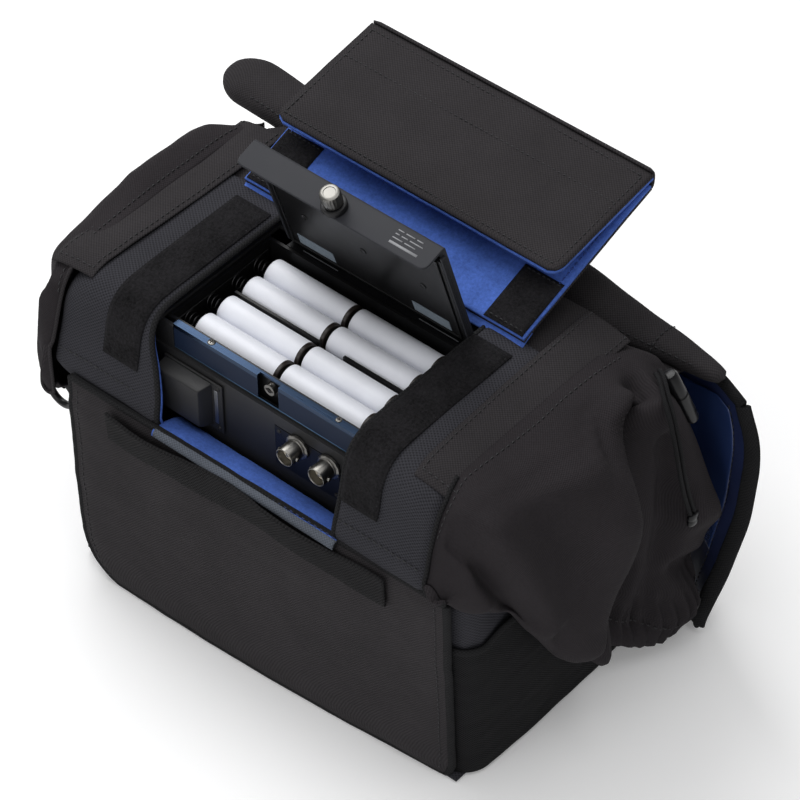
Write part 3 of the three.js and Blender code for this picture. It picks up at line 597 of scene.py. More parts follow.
# ---- Recorder ------------------------------------------------------------------------------
REAR = -16.0
FRONT = 108.0
ROW_Y = (0, 14.8, 31.4, 46.2)
CELL_PITCH = 50.8
for node, material, bevel, segments in (
        ("recorder_case", SHELL, 0.5, 2), ("rear_trim_strip", STRIP_METAL_BLUE_REFLECTION, 0.3, 3),
        ("thumbscrew_bush", NICKEL, 0.25, 2),
        ("battery_tray", INNER, 0.35, 2), ("contact_strip_right", SPRING, 0.15, 2),
        ("hinge_leaf", GLOSS, 0.12, 2),
        ("bnc_plate", GLOSS, 0.4, 2), ("front_panel", SHELL, 0.3, 2), ("display_window", GLASS, 0.5, 2),
        ("circuit_board", BOARD, 0.3, 2), ("door_inner_frame", INNER, 0.5, 3),
        ("door_pad_left", FOAM, 0.5, 3),
        ("door_pad_right", FOAM, 0.5, 3), ("record_button", GLOSS, 0.8, 3), ("stop_button", GLOSS, 0.8, 3)):
    dress(node, material, bevel, segments)

# The trim strip's rear face is two dark plates, painted shade on that face, with a pale line along their
# lower edge that is a painted highlight.
STRIP = (-1.9, 109.9)
for k, (x0, x1) in enumerate(((STRIP[0], 48.1), (60.9, STRIP[1]))):
    block(f"trim_strip_face_shade_{k}", (x0, -14.35, -4.6), (x1, -14.1, 7.1), STRIP_FACE_SHADE, 0.1)


def screw(name, at, radius, stands_for=(), rear=False, material=NICKEL):
    """A small cross-recessed screw head, which faces up or to the rear."""
    def turn(a, b, h):
        return (at[0] + a, at[1] - h, at[2] + b) if rear else (at[0] + a, at[1] + b, at[2] + h)

    lathe(name, [(radius * 0.55, -0.9), (radius, -0.2), (radius, 0.15), (radius * 0.85, 0.38),
                 (radius * 0.2, 0.45)],
          turn, material, sides=28, stands_for=stands_for)
    r = radius * 0.55
    s = r * 0.24
    cross = [(-r, -s), (-s, -s), (-s, -r), (s, -r), (s, -s), (r, -s), (r, s), (s, s), (s, r), (-s, r),
             (-s, s), (-r, s)]
    # The cross recess is a dark cross set in the head: painted shade in the recess.
    loft(name + "_recess_shade", [[turn(a, b, h) for a, b in cross] for h in (0.2, 0.49)], DARK_RING_AND_SHADE)


screw("strip_screw_left_head", (19.2, -12.1, 9.55), 1.9, ("strip_screw_left",))
screw("strip_screw_right_head", (94, -12.1, 9.55), 1.5, ("strip_screw_right",))
# The pale line is a painted highlight along the strip's lower edge.
loft("trim_highlight_line", [[(x, -14.42, -4.7), (x, -14.42, -4.1), (x, -14.1, -4.1), (x, -14.1, -4.7)] for x in STRIP],
     STRIP_EDGE_HIGHLIGHT)
# The lock screw's slot is a dark bar of painted shade.
SLOT = ((-2, -0.35), (2, -0.35), (2, 0.35), (-2, 0.35))
loft("notch_screw_slot_shade", [[(54.5 + a, y, 3.2 + b) for a, b in SLOT] for y in (-13.7, -13.45)],
     DARK_RING_AND_SHADE)

# A band of the cell's outline is (which of CELL_LOOKS it has, its (radius, height) points).
CELL_LOOKS = (CELL_WHITE, DARK_RING_AND_SHADE, NICKEL)
CELL_BANDS = ((2, [(0.4, 0.02), (5.6, 0.02)]), (1, [(6.3, 0.15)]),
              (0, [(6.75, 0.35), (7.1, 0.8), (7.2, 1.5), (7.2, 20), (7.23, 24), (7.2, 28), (7.2, 44.2),
                   (7.2, 47.2)]),
              (1, [(7.17, 47.3), (7.17, 48.7), (6.9, 49.05), (6.3, 49.25), (5.9, 49.25)]),
              (2, [(5.7, 49.2), (3.0, 49.2), (2.75, 49.4), (2.65, 50.2), (2.3, 50.48), (0.3, 50.5)]))


def cell(number, x, y, sides=56):
    """A wrapped round cell: a white sleeve, a dark ring by the plus end, a bright cap and nub."""
    profile = [(look, r, h) for look, band in CELL_BANDS for r, h in band]
    points = []
    for _, r, h in profile:
        for k in range(sides):
            a = 2 * math.pi * k / sides
            points.append((x + h, y + r * math.cos(a), r * math.sin(a)))
    faces = [face[:1] + face[:0:-1] for face in ring_faces(len(profile), sides)]
    obj = mesh_object(f"cell_{number}_wrapped", points, faces, CELL_LOOKS[0], f"cell_{number}_body",
                      (f"cell_{number}",))
    for look in CELL_LOOKS[1:]:
        obj.data.materials.append(look)
    for i, polygon in enumerate(obj.data.polygons):
        polygon.material_index = profile[i // sides][0] if i < (len(profile) - 1) * sides else 2
    split_edges(obj, 40)


for k in range(8):
    cell(k + 1, CELL_START + (k % 2) * CELL_PITCH, ROW_Y[k // 2])

block("spring_plate", (-7.1, -7, -7), (-6.3, 53.4, 4), DULL, 0.2,
      stands_for=("contact_strip_left",))
COIL_TURNS, COIL_LENGTH, COIL_STEPS = 4, 8.7, 90
for number, y in enumerate(ROW_Y):
    coil = []
    for step in range(COIL_STEPS + 1):
        t = step / COIL_STEPS
        a, r = 2 * math.pi * COIL_TURNS * t, mix(3.9, 2.2, t)
        coil.append((-6.5 + COIL_LENGTH * t, y + r * math.cos(a), r * math.sin(a)))
    tube(f"spring_{number + 1}", coil, 0.36, DULL, sides=8)
# Thin bright strips on the hinge leaf's edges are painted highlights.
for k, (x0, x1) in enumerate(((10, 31), (79, 102))):
    block(f"hinge_edge_highlight_{k}", (x0, 58.9, 8.7), (x1, 59.3, 9.2), BRIGHT_METAL_AND_HIGHLIGHT, 0.1)

# Coaxial jacks: flange nut, barrel with lugs, dielectric and centre contact.
JACK_Z = -17
BARREL = [(6.0, -0.2), (6.3, 0.1), (6.3, 1.2), (5.5, 1.7), (5.0, 1.75), (4.85, 2.1), (4.7, 2.2), (4.7, 3.0),
          (4.85, 3.1), (4.85, 9.0), (4.65, 9.45), (4.4, 9.5), (4.12, 9.2), (4.1, 3.4)]


def nut_flats(r, h, k):
    return 0.12 * math.cos(k * math.pi / 2) if h < 1.3 and r > 6.1 else 0


for side, x in (("left", 73.5), ("right", 92)):
    def turned(a, b, h):
        return (x + a, REAR - 0.4 - h, JACK_Z + b)

    lathe(f"jack_{side}_barrel", BARREL, turned, sides=56, stands_for=(f"bnc_jack_{side}",), ripple=nut_flats)
    lathe(f"jack_{side}_dielectric", [(4.05, 3.0), (4.05, 5.4), (3.7, 5.8), (2.4, 5.9), (2.2, 6.1),
                                      (1.25, 6.1), (1.2, 4.9)], turned, CREAM)
    lathe(f"jack_{side}_contact", [(1.0, 3.5), (1.0, 7.2), (0.8, 7.5), (0.45, 7.5), (0.4, 6.0)], turned,
          SPRING, sides=20)
    for letter, end in (("a", -1), ("b", 1)):
        lathe(f"jack_{side}_lug_{letter}", [(0.95, 4.6), (0.95, 5.5), (0.8, 5.72), (0.2, 5.75)],
              lambda a, b, h: (x + end * h, REAR - 6.9 + a, JACK_Z + b), sides=20)

# Connector: a stepped black housing in its frame, with a bright contact slit.
block("connector_frame", (-6, REAR - 1.5, -38), (29, REAR - 0.3, -9), SHELL,
      stands_for=("connector_block",))
HOUSING = ((1.2, -5.4, 23.0, -35.6, -10), (6.2, -5.1, 21.6, -34.6, -10.8), (8.5, -4.2, 20.4, -33.6, -11.7))
loft("connector_housing", [[(x, REAR - out, z) for x, z in ((x0, z0), (x1, z0), (x1, z1), (x0, z1))]
                           for out, x0, x1, z0, z1 in HOUSING], SHELL, bevel=0.55)
block("connector_slit", (24.3, REAR - 1.75, -33), (26.4, REAR - 1.2, -13), BRIGHT_METAL_AND_HIGHLIGHT, 0.15)
for k, z in enumerate((-11.2, -35.6)):
    screw(f"connector_screw_{k + 1}", (26.6, REAR - 1.5, z), 1.2, rear=True, material=SHELL)
for k, (x, z) in enumerate(((62, -15.4), (62, -33.6), (95.2, -33.6))):
    screw(f"jack_plate_screw_{k + 1}", (x, REAR - 0.25, z), 1.1, rear=True, material=SHELL)

# Front panel, which the case's cover hides: knobs, buttons, generic scale marks.
CONTROL_Z = -48
KNOB = [(8.6, 0.4), (9.0, 0.8), (8.9, 2.6), (8.0, 3.2), (7.2, 3.4), (7.0, 4.2), (7.0, 10.6), (6.5, 11.6),
        (5.4, 12), (0.4, 12)]

SCALE_BAR = ((10.4, -0.2), (12, -0.2), (12, 0.2), (10.4, 0.2))


def knob_flutes(r, h, k):
    return 0.22 * math.cos(k * math.pi * 0.5) if 4 < h < 10.8 and r > 6.8 else 0


for side, x in (("left", -20), ("right", 10)):
    body = f"level_knob_{side}_body"
    lathe(f"level_knob_{side}_cap", KNOB, lambda a, b, h: (x + a, FRONT + h, CONTROL_Z + b), SHELL,
          body, sides=72, stands_for=(f"level_knob_{side}",), ripple=knob_flutes)
    block(f"level_knob_{side}_pointer", (x - 0.5, 119.6, -47.4), (x + 0.5, 120.4, -42), MARK, 0.15,
          body)
    for k in range(11):
        a = math.radians(-150 + 30 * k)
        c, s = math.sin(a), math.cos(a)
        bar = [(x + r * c + w * s, CONTROL_Z + r * s - w * c) for r, w in SCALE_BAR]
        loft(f"scale_{side}_{k}", [[(bx, y, bz) for bx, bz in bar] for y in (FRONT - 0.05, FRONT + 0.12)],
             MARK)
lathe("record_dot", [(1.6, -0.05), (1.6, 0.1), (0.2, 0.12)],
      lambda a, b, h: (111 + a, 111.02 + h, CONTROL_Z + b), RED, "record_button_body", sides=24)
block("stop_square", (129.6, 110.95, -49.4), (132.4, 111.12, -46.6), MARK, 0.05, "stop_button_body")
for k, (x, z) in enumerate(((-46, 4), (150, 4), (-46, -65), (150, -65))):
    lathe(f"front_screw_{k + 1}", [(1.2, -0.3), (1.9, 0.05), (1.8, 0.35), (0.3, 0.4)],
          lambda a, b, h: (x + a, FRONT + 0.02 + h, z + b), SHELL, sides=24)

# ---- Battery door --------------------------------------------------------------------------
OPEN = math.radians(73)
HINGE_Y, HINGE_Z = 60.0, 9.0
DOOR_REACH = 75.8
DOOR_OUT = 3.7


def D(x, back, out):
    """A point of the closed door, `back` from the hinge (negative) and `out` from its face, turned open."""
    return (x, HINGE_Y + back * math.cos(OPEN) + out * math.sin(OPEN),
            HINGE_Z - back * math.sin(OPEN) + out * math.cos(OPEN))


def door_section(lip, inset, thick=1.4):
    """The bent sheet's outline: hinge edge, flat, rounded bend, lip."""
    inner, low = DOOR_OUT - thick, DOOR_OUT - lip
    bend = [(-DOOR_REACH + 1.6 - 1.6 * math.sin(a), DOOR_OUT - 1.6 + 1.6 * math.cos(a))
            for a in (0, 0.4, 0.8, 1.2, math.pi / 2)]
    back = [(-DOOR_REACH + thick + 0.35 - 0.35 * math.sin(a), inner - 0.35 + 0.35 * math.cos(a))
            for a in (math.pi / 2, 0.8, 0)]
    hinge = [(-0.7 + inset, inner), (0.7 - inset, inner + 0.2), (0.6 - inset, DOOR_OUT - 0.2),
             (-inset, DOOR_OUT)]
    edge = [(-DOOR_REACH, low + 0.3), (-DOOR_REACH + 0.3, low), (-DOOR_REACH + 1.1, low),
            (-DOOR_REACH + thick, low + 0.3)]
    return hinge + bend + edge + back


DOOR_ENDS = ((0.3, 10.6, 0.6), (0.5, 11.9, 0.3), (0.9, 13.0, 0.1), (1.6, 13.8, 0), (2.6, 14.3, 0),
             (4, 14.5, 0),
             (105, 14.5, 0), (106.4, 14.3, 0), (107.4, 13.8, 0), (108.1, 13.0, 0.1), (108.5, 11.9, 0.3),
             (108.7, 10.6, 0.6))
loft("door_shell", [[D(x, b, o) for b, o in door_section(lip, inset)] for x, lip, inset in DOOR_ENDS],
     DOOR_PAINT, "door", stands_for=("battery_door",), bevel=0.25)
for side, x in (("left", 0.4), ("right", 107.2)):
    block(f"door_wall_{side}", (x, -70, -0.1), (x + 1.4, -2, 2.4), DOOR_PAINT, 0.3, "door",
          place=D)
    for k in (0, 1):
        block(f"door_wall_{side}_bead_{k}", (x - 0.1, -69, 0.35 + k), (x + 1.5, -4, 0.7 + k), INNER,
              0.12, "door", place=D)
for k, (x0, x1, b0, b1) in enumerate(((4, 105, -66, -64.2), (4, 105, -5.4, -3.8), (4, 5.8, -64.4, -5),
                                      (103.2, 105, -64.4, -5))):
    block(f"door_frame_rim_{k}", (x0, b0, -0.75), (x1, b1, 0.1), INNER, 0.3, "door", place=D)
for k, x in enumerate((54.5, 20, 89)):
    lathe(f"door_dimple_{k}", [(1.9, -0.1), (1.9, 0.2), (1.5, 0.42), (1.1, 0.2), (0.3, 0.15)],
          lambda a, b, h: D(x + a, -34 + b, -h), INNER, "door", sides=28)

# Generic bars stand where a label would be printed. Each row lists where its bars start and end.
LABEL_X = 86
LABEL_ROWS = ((0, 3.2, 4.4, 9.2, 10.4, 13.8), (0, 2.2, 3.4, 6.8, 8, 15.2), (0, 5.4, 6.6, 12.6), (0, 15.5))
for row, bars in enumerate(LABEL_ROWS):
    top = 0.2 - row * 2.1
    foot = top - (0.5 if row < 3 else 1.2)
    for k in range(0, len(bars), 2):
        bar = [(bars[k], top), (bars[k + 1], top), (bars[k + 1], foot), (bars[k], foot)]
        loft(f"label_bar_{row}_{k // 2}", [[D(LABEL_X + x, b, o) for x, o in bar] for b in (-75.78, -75.86)],
             MARK, "door")


def on_lip(a, b, h):
    """Round the thumbscrew's axis, h out from the lip's face."""
    return D(54.5 + a, -DOOR_REACH - h, -5.8 + b)


def knurl(r, h, k):
    return 0.14 * math.cos(k * math.pi * 0.5) if 4.2 < h < 10.8 and r > 4.5 else 0


lathe("thumb_collar", [(2.4, 0.3), (6.0, 0.3), (6.0, 2.4), (5.6, 3.0), (4.9, 3.2), (2.5, 3.2)], on_lip,
      GLOSS, "door", sides=56, stands_for=("thumbscrew_collar",))
lathe("thumb_knob", [(1.2, -1.8), (1.2, 3.4), (3.9, 3.5), (4.5, 3.8), (4.62, 4.4), (4.62, 10.6), (4.5, 11.1),
                     (3.9, 11.45), (2.9, 11.5), (2.7, 11.2), (0.3, 11.2)],
      on_lip, body="thumbscrew_body", sides=80, stands_for=("thumbscrew",), ripple=knurl)

# ---- Case: panels and body -----------------------------------------------------------------
FLOOR = -158.0
PANEL_LEFT, PANEL_RIGHT, PANEL_TOP = -48.0, 172.0, -36.5
BAG_LEFT, BAG_RIGHT, BAG_FAR = -54.0, 179.5, 131.0
PANEL_CORNER = [(0, 0), (0.5, 0.8), (0.8, 3.2), (0.86, 5), (0.92, 9.5), (0.96, 15), (1, 24)]
NEARWARD = (0, -1, 0)


def near_face(x, z):
    """Where the case's near side lies: it leans, and its middle swells towards the floor."""
    across = clamp((x - PANEL_LEFT) / (PANEL_RIGHT - PANEL_LEFT))
    down = (z - PANEL_TOP) / (FLOOR - PANEL_TOP)
    lean = mix(mix(-38.5, -34.6, across), mix(-42, -29.5, across), down)
    return lean - 3.5 * math.sin(math.pi * across) * down


def panel_point(u, v, proud=0.0):
    left = PANEL_LEFT + along(PANEL_CORNER, v)
    right = PANEL_RIGHT - along([(0, 0), (0.93, 0), (1, 3)], v)
    x, z = mix(left, right, u), mix(PANEL_TOP, FLOOR + 0.6, v)
    inside = smooth(min((x - left) / 9, (right - x) / 9, (PANEL_TOP - z) / 7, (z - FLOOR) / 9))
    puff = inside * (1.5 + 0.9 * wrinkle(x, z, 1.0, 42, 0.7)) + 0.35 * wrinkle(x, z, 5.0, 12, 0.6)
    if v > 0.1:
        puff += 0.7 * bell((z + 60 + 0.1 * x) / 9)
    return (x, near_face(x, z) + 0.9 - puff - proud, z)


grid("near_panel_pad", panel_point, 110, 64, thick=2.3, offset=1, stands_for=("near_panel",))
panel_sides = ([panel_point(0, v / 40) for v in range(41)], [panel_point(u / 60, 1) for u in range(61)],
               [panel_point(1, 1 - v / 40) for v in range(41)], [panel_point(u / 60, 0) for u in range(61)])
for k, side in enumerate(panel_sides):
    tube(f"panel_binding_{k}", curve_through([(x, y + 1.2, max(z, FLOOR + 1.9)) for x, y, z in side], 90),
         2.1, sides=12, up=(0, 1, 0), squash=0.8)
for side, u in (("left", 0.022), ("right", 0.978)):
    stitches(f"panel_stitch_{side}", [panel_point(u, v / 30, 0.05) for v in range(1, 30)], normal=NEARWARD)


def body_ring(z, inset, count=96):
    """The bag's outline at one height: 12 mm corners, a near side that follows the panel, slack sides."""
    x0, x1, far, r = BAG_LEFT + inset, BAG_RIGHT - inset, BAG_FAR - inset, 12.0 - inset
    near_l, near_r = (near_face(x, z) + 5.4 + inset for x in (BAG_LEFT, BAG_RIGHT - 12))
    corners = [((x1 - r, far - r), 0), ((x0 + r, far - r), 90), ((x0 + r, near_l + r), 180),
               ((x1 - r, near_r + r), 270)]
    ring = []
    for (cx, cy), start in corners:
        for k in range(7):
            a = math.radians(start + 15 * k)
            ring.append(Vector((cx + r * math.cos(a), cy + r * math.sin(a), z)))
    closed = ring + [ring[0]]
    spans = [(b - a).length for a, b in zip(closed, closed[1:])]
    total, out = sum(spans), []
    for k in range(count):
        want, i = total * k / count, 0
        while want > spans[i]:
            want -= spans[i]
            i += 1
        out.append(closed[i].lerp(closed[i + 1], want / spans[i]))
    return out


BODY_SIDES = 96
BODY_ROWS = [FLOOR + up for up in (0.2, 0.8, 2.2, 4.5)] + [mix(FLOOR + 8, -42, k / 26) for k in range(27)]
FOOT_INSET = [(0, 3.4), (1, 1.6), (2, 0.6), (3, 0.1), (4, 0)]
BODY_RINGS = [body_ring(z, along(FOOT_INSET, i)) for i, z in enumerate(BODY_ROWS)]


def body_point(u, v):
    return BODY_RINGS[round(v * (len(BODY_ROWS) - 1))][round(u * BODY_SIDES) % BODY_SIDES]


def body_surface(u, v):
    p = body_point(u, v)
    out = (p - Vector((62.0, 50.0, p.z))).normalized()
    return p + out * 0.9 * (wrinkle(p.x + p.y, p.z, 2.0, 38, 1.6) - 0.3) * smooth((p.z - FLOOR) / 30)


def outside_front_opening(u, v):
    p = body_point(u, v)
    return not (p.y > 125 and -44 < p.x < 166 and p.z > -120)


grid("case_body_shell", body_surface, BODY_SIDES, len(BODY_ROWS) - 1, WEAVE, thick=2.4,
               stands_for=("case_body",), closed_u=True, keep=outside_front_opening, rim=WEBBING)


def floor_pad(u, v):
    x, y = mix(-50, 175.5, u), mix(-29, 127, v)
    return (x, y, FLOOR + 1.2 + 0.15 * wrinkle(x, y, 8.0, 16))


grid("case_floor", floor_pad, 40, 30, WEAVE, thick=1.0, offset=1)
# Seams run down the three corners that the net pocket leaves bare.
for k, (cx, cy, degrees) in enumerate(((-42, -22, 225), (-42, 119, 135), (167.5, 119, 45)), 1):
    c, s = math.cos(math.radians(degrees)), math.sin(math.radians(degrees))
    seam = []
    for step in range(13):
        z = mix(-155, -44, step / 12)
        centre_y = near_face(cx, z) + 17.4 if cy < 0 else cy
        seam.append((cx + 12.3 * c, centre_y + 12.3 * s, z))
    tube(f"corner_seam_{k}", curve_through(seam, 40), 1.0, squash=0.7, up=(c, s, 0))
OPENING = [(-45, -44), (-45, -80), (-44, -117), (-40, -121), (60, -121.4), (160, -121), (166, -117),
           (167, -80), (167, -44)]
tube("opening_binding", curve_through([(x, 130, z) for x, z in OPENING], 140), 2.0, up=(0, 1, 0), squash=0.8)


def pocket(u, v):
    """The net, from the near panel's edge round the corner and along the side."""
    run = mix(-18, 104, u)
    z = mix(FLOOR + 2.4, along([(-18, -70), (0, -71), (14, -66), (104, -56)], run), v)
    belly = smooth(run / 30) * smooth((104 - run) / 30) * (0.4 + 0.6 * math.sin(math.pi * v * 0.8))
    a = min(0.0, run / 12.6)
    centre_x = BAG_RIGHT - 12
    centre_y = near_face(centre_x, z) + 17.4
    reach = 12.9 + 3.0 * belly + 0.4 * wrinkle(run, z, 4.0, 14, 0.4)
    return (centre_x + reach * math.cos(a), centre_y + reach * math.sin(a) + max(0.0, run), z)


POCKET = grid("side_pocket_net", pocket, 90, 56, MESH, thick=0.6, offset=1,
              stands_for=("mesh_pocket",))
hem_path = [pocket(u / 30, 1 - 0.02 * math.sin(math.pi * u / 30)) for u in range(31)]
HEM = tube("pocket_hem", curve_through(shifted(hem_path, 0.5, 0, 0), 80), 1.9, squash=0.4,
           up=(1, 0, 0))
POCKET_SEAM = tube("pocket_seam", curve_through([pocket(0.0, v / 20) for v in range(21)], 60), 1.3)


def hook_strip(u, v):
    x = mix(-21.5, 141.5, u)
    z = mix(-38.2, -54.8, v) - 1.3 * math.sin(u * 9.3) - 0.6 * math.sin(u * 21) * v
    stand = 2.2 + 1.5 * (1 + math.sin(u * 12)) * (1 - v) + 0.3 * wrinkle(x, z, 3.0, 7)
    return (x, near_face(x, z) - stand + 0.5, z)


grid("near_hook_tape", hook_strip, 120, 8, HOOKS, thick=1.3,
     stands_for=("near_hook_strip",))
for k, v in enumerate((0.12, 0.88)):
    stitches(f"hook_stitch_{k}", shifted([hook_strip(u / 60, v) for u in range(61)], 0, -0.1, 0),
             normal=NEARWARD, pitch=2.8, length=1.9)
random.seed(7)
fuzz_points, fuzz_faces = [], []
for _ in range(520):
    u = random.random()
    x, y, z = hook_strip(u, 1.0 if random.random() < 0.7 else 0.0)
    down = Vector((random.uniform(-0.8, 0.8), random.uniform(-0.5, 0.1), -random.uniform(0.8, 2.6)))
    base, side = Vector((x, y, z + 0.3)), Vector((0.11, 0, 0))
    n = len(fuzz_points)
    knee = base + down * 0.6
    fuzz_points += [base - side, base + side, knee + side * 0.8, knee - side * 0.8, base + down]
    fuzz_faces += [(n, n + 1, n + 2, n + 3), (n + 3, n + 2, n + 4)]
mesh_object("hook_fuzz", fuzz_points, fuzz_faces, WEBBING, "case")

# ---- Case: lining and straps ---------------------------------------------------------------
LEDGE_CURVE = curve_through([(0, y, z) for y, z in (
    (-38.6, -38.5), (-37.8, -36.4), (-35.8, -35.4), (-33, -35.6), (-28, -37.2), (-22.4, -39.6),
    (-18.6, -42.6), (-17.8, -47), (-17.8, -58), (-17.8, -70))], 37)
HEM_CURVE = curve_through([(0, y, z) for y, z in (
    (-38.9, -38.4), (-38.7, -36.9), (-37.9, -35.7), (-36.9, -35.1), (-35.9, -34.9))], 24)


def ledge(u, v):
    p = LEDGE_CURVE[round(v * (len(LEDGE_CURVE) - 1))]
    x = mix(4, 112, u)
    soft = 0.35 * wrinkle(x, p.z, 6.0, 11) * smooth(v * 3)
    return (x, p.y - 0.2 + soft, p.z + soft)


def cradle(u, v):
    return (mix(-50, 157, u), mix(-18, 105.5, v), -71.2 - 0.3 * wrinkle(u * 200, v * 120, 3.0, 18))


def hem_tape(u, v):
    x = mix(5, 112.5, u)
    p = curve_point(HEM_CURVE, v)
    return (x, p.y + 0.2 * wrinkle(x, 0, 2.0, 14), p.z + 0.25 * wrinkle(x, 3, 7.0, 18))


grid("felt_ledge", ledge, 90, 36, FELT, thick=2.6, stands_for=("case_lining",),
               rim=GREY_TAPE)
grid("felt_cradle", cradle, 50, 30, FELT, thick=2.6)
stitches("ledge_stitch", [ledge(u / 40, 0.115) for u in range(41)], DARK_THREAD,
         normal=(0, -0.7, 0.7), pitch=3.4, length=2.6, radius=0.4)
grid("grey_hem", hem_tape, 80, 16, HEM_TAPE, thick=0.4)

STRAP_TOP = 17.0
STRAP_DROP = 52.5
STRAP = curve_through([(0, y, z) for y, z in (
    (71, 0), (50, 0.2), (20, 0.2), (-2, 0), (-14, -1), (-21.6, -5.6), (-26, -13.6), (-28.5, -25), (-32, -38),
    (-34.8, -48), (-34.4, -53), (-31.6, -60))], 73)
TOPS = {"left": [(-60, 8.5), (-52, 13.6), (-46, 15.6), (-33, 17), (-7.5, 17)],
        "right": [(109.1, 17), (135, 17), (150, 15.6), (156.4, 13.8), (160, 12)]}


def strap_point(side, x, t, lift=0.0):
    """The strap's outer line at x, t from the far edge over the rear edge and down, raised by lift."""
    p = curve_point(STRAP, t)
    run = (curve_point(STRAP, t + 0.02) - curve_point(STRAP, t - 0.02)).normalized()
    top = along(TOPS[side], x)
    z = top + p.z * ((top - STRAP_TOP + STRAP_DROP) / STRAP_DROP)
    return Vector((x, p.y, z)) + Vector((0, run.z, -run.y)) * lift


def flare(side, t):
    """How far the left strap's inner edge spreads towards its sewn end."""
    return 11 * smooth((t - 0.58) / 0.34) if side == "left" else 0


for side, x0, x1, loop_start in (("left", -60, -7.5, -31.5), ("right", 109.1, 160, 110.4)):
    def outer(u, v):
        x = mix(x0, x1 + flare(side, v), u)
        edge = smooth(min(u, 1 - u) * (x1 - x0) / 3.2)
        return strap_point(side, x, v, edge - 1.0 + 0.5 * edge * wrinkle(x, v * 130, 2.5, 22))

    def inner(u, v):
        return strap_point(side, mix(x0 + 0.3, x1 - 0.3 + 1.12 * flare(side, v), u), v, -2.1)

    def pile(u, v):
        x, t = mix(loop_start, loop_start + 21, u), mix(0.07, 0.8, v)
        edge = smooth(min(u * 9, (1 - u) * 9, v * 40, (1 - v) * 40, 1))
        return strap_point(side, x, t, 0.35 + edge * (0.95 + 0.32 * wrinkle(x * 3, t * 500, 4.0, 4)))

    grid(f"{side}_strap_weave", outer, 40, 96, WEAVE, thick=1.5, offset=1,
                   stands_for=(f"{side}_strap",), rim=GREY_TAPE)
    grid(f"{side}_strap_felt", inner, 16, 72, FELT, thick=1.2, offset=1)
    edge_x = x1 - 0.2 if side == "left" else x0 + 0.2
    tube(f"{side}_strap_binding", [strap_point(side, edge_x + flare(side, t / 60), t / 60, -1.2)
                                   for t in range(61)],
         1.35)
    grid(f"{side}_loop_pile", pile, 44, 190, PILE, thick=0.5,
         stands_for=(f"{side}_loop_strip",))
    for k, u in enumerate((0.05, 0.95)):
        stitches(f"{side}_loop_stitch_{k}", [pile(u, v / 60) for v in range(61)], pitch=2.9,
                 length=2.0, normal=lambda p: (0, -1, 0.2) if p.z < 8 else (0, -0.2, 1))
    stitches(f"{side}_strap_cross", [strap_point(side, mix(x0 + 2, x1 - 2, k / 20), 0.87, 0.1)
                                     for k in range(21)],
             normal=(0, -1, 0.2))

# The folded edges of the two sleeves lie on the straps as flat bands with square ends.
PLACKET_TOP = {"left": [(-75, 10.5), (-70, 13.4), (-64, 15.6), (-57, 16.9), (-50, 17.7), (-39, 18.2)],
               "right": [(139, 18.6), (150, 17.6), (157, 16.4), (163, 15.0), (168, 13)]}
PLACKET_DROP = [(-18.8, -4.6), (-14.5, -2.1), (-9, -0.4), (10, 0), (110, 0)]
PLACKET_LINE = curve_through([(0, 104, 2.8), (0, 60, 3.0), (0, 10, 2.9), (0, -9, 2.6), (0, -14.5, 0.9),
                              (0, -18.8, -1.6)], 60)
for side, x0, x1, skew in (("left", -69, -43, -4.5), ("right", 139, 163, 3.5)):
    def band(u, v):
        x, y = mix(x0, x1, u), curve_point(PLACKET_LINE, v).y
        top = along(PLACKET_TOP[side], x) + along(PLACKET_DROP, y)
        edge = smooth(min(u, 1 - u) * 9) * smooth((1 - v) * 40)
        return (x + skew * v * v, y, top - 0.5 + 0.5 * edge + 0.3 * wrinkle(x, y, 9.0, 16))

    grid(f"{side}_placket_fold", band, 30, 110, thick=1.0, offset=1,
                   stands_for=(f"{side}_placket",))
    for k, u in enumerate((0.1, 0.9)):
        stitches(f"{side}_placket_stitch_{k}", shifted([band(u, v / 50) for v in range(50)], 0, 0, 0.08))
    stitches(f"{side}_placket_end", shifted([band(u / 12, 0.965) for u in range(1, 12)], 0, -0.08, 0.05),
             normal=(0, -0.6, 0.8))

# ---- Case: sleeves -------------------------------------------------------------------------
# A fold is (height, width, its line in the sleeve's (y, z) plane).
FOLDS = [(-7.5, 3.0, [(-26, 4), (-25, -6), (-21, -20), (-13, -38), (-5, -56)]),
         (3.8, 4.5, [(-31, -8), (-29, -20), (-24, -36)]),
         (4.6, 5, [(-18, 4), (-12, -10), (-5, -32), (4, -58)]),
         (-6.0, 9, [(6, 4), (16, -16), (24, -42), (30, -72)]),
         (3.6, 8, [(36, -20), (36, -60), (30, -96), (22, -116)]),
         (-7.0, 4.5, [(88, -14), (88, -30), (87, -58), (84, -90), (78, -126)]),
         (-4.0, 4.0, [(68, -84), (66, -106), (60, -134)]), (7.5, 7, [(100, -62), (110, -66), (118, -72)]),
         (-8.5, 6, [(98, -100), (108, -108), (118, -112)]), (4.0, 6, [(98, -128), (110, -132)])]
# Outlines of the right sleeve along y: how far out, its lowest and top lines, how its outside falls,
# its seam on top and the line underneath.
SLEEVE_OUT = [(-36, 174), (-30, 180), (-17, 190), (0, 200), (14, 206), (24, 211), (33, 214), (40, 212),
              (47, 200), (55, 191), (66, 191.5), (82, 201), (96, 205.5), (105, 206), (116, 204), (122, 200)]
SLEEVE_LOW = [(-36, -33), (-31, -36), (-26, -42), (-17, -46), (-8, -54), (0, -66), (16, -97), (40, -116),
              (66, -138), (90, -151), (105, -147), (116, -118), (122, -90)]
SLEEVE_EDGE = [(-36.5, -29), (-32, -21), (-28.5, -9), (-26, 1), (-21.6, 8.6), (-14, 14.4), (-9, 16.2),
               (10, 16.9), (70, 16.9), (88, 16), (104, 10.5), (113, 3), (118, -24), (122, -62)]
SLEEVE_FALL = [(84, 0), (92, 3), (98, 9.5), (105, 22), (116, 38), (122, 10)]
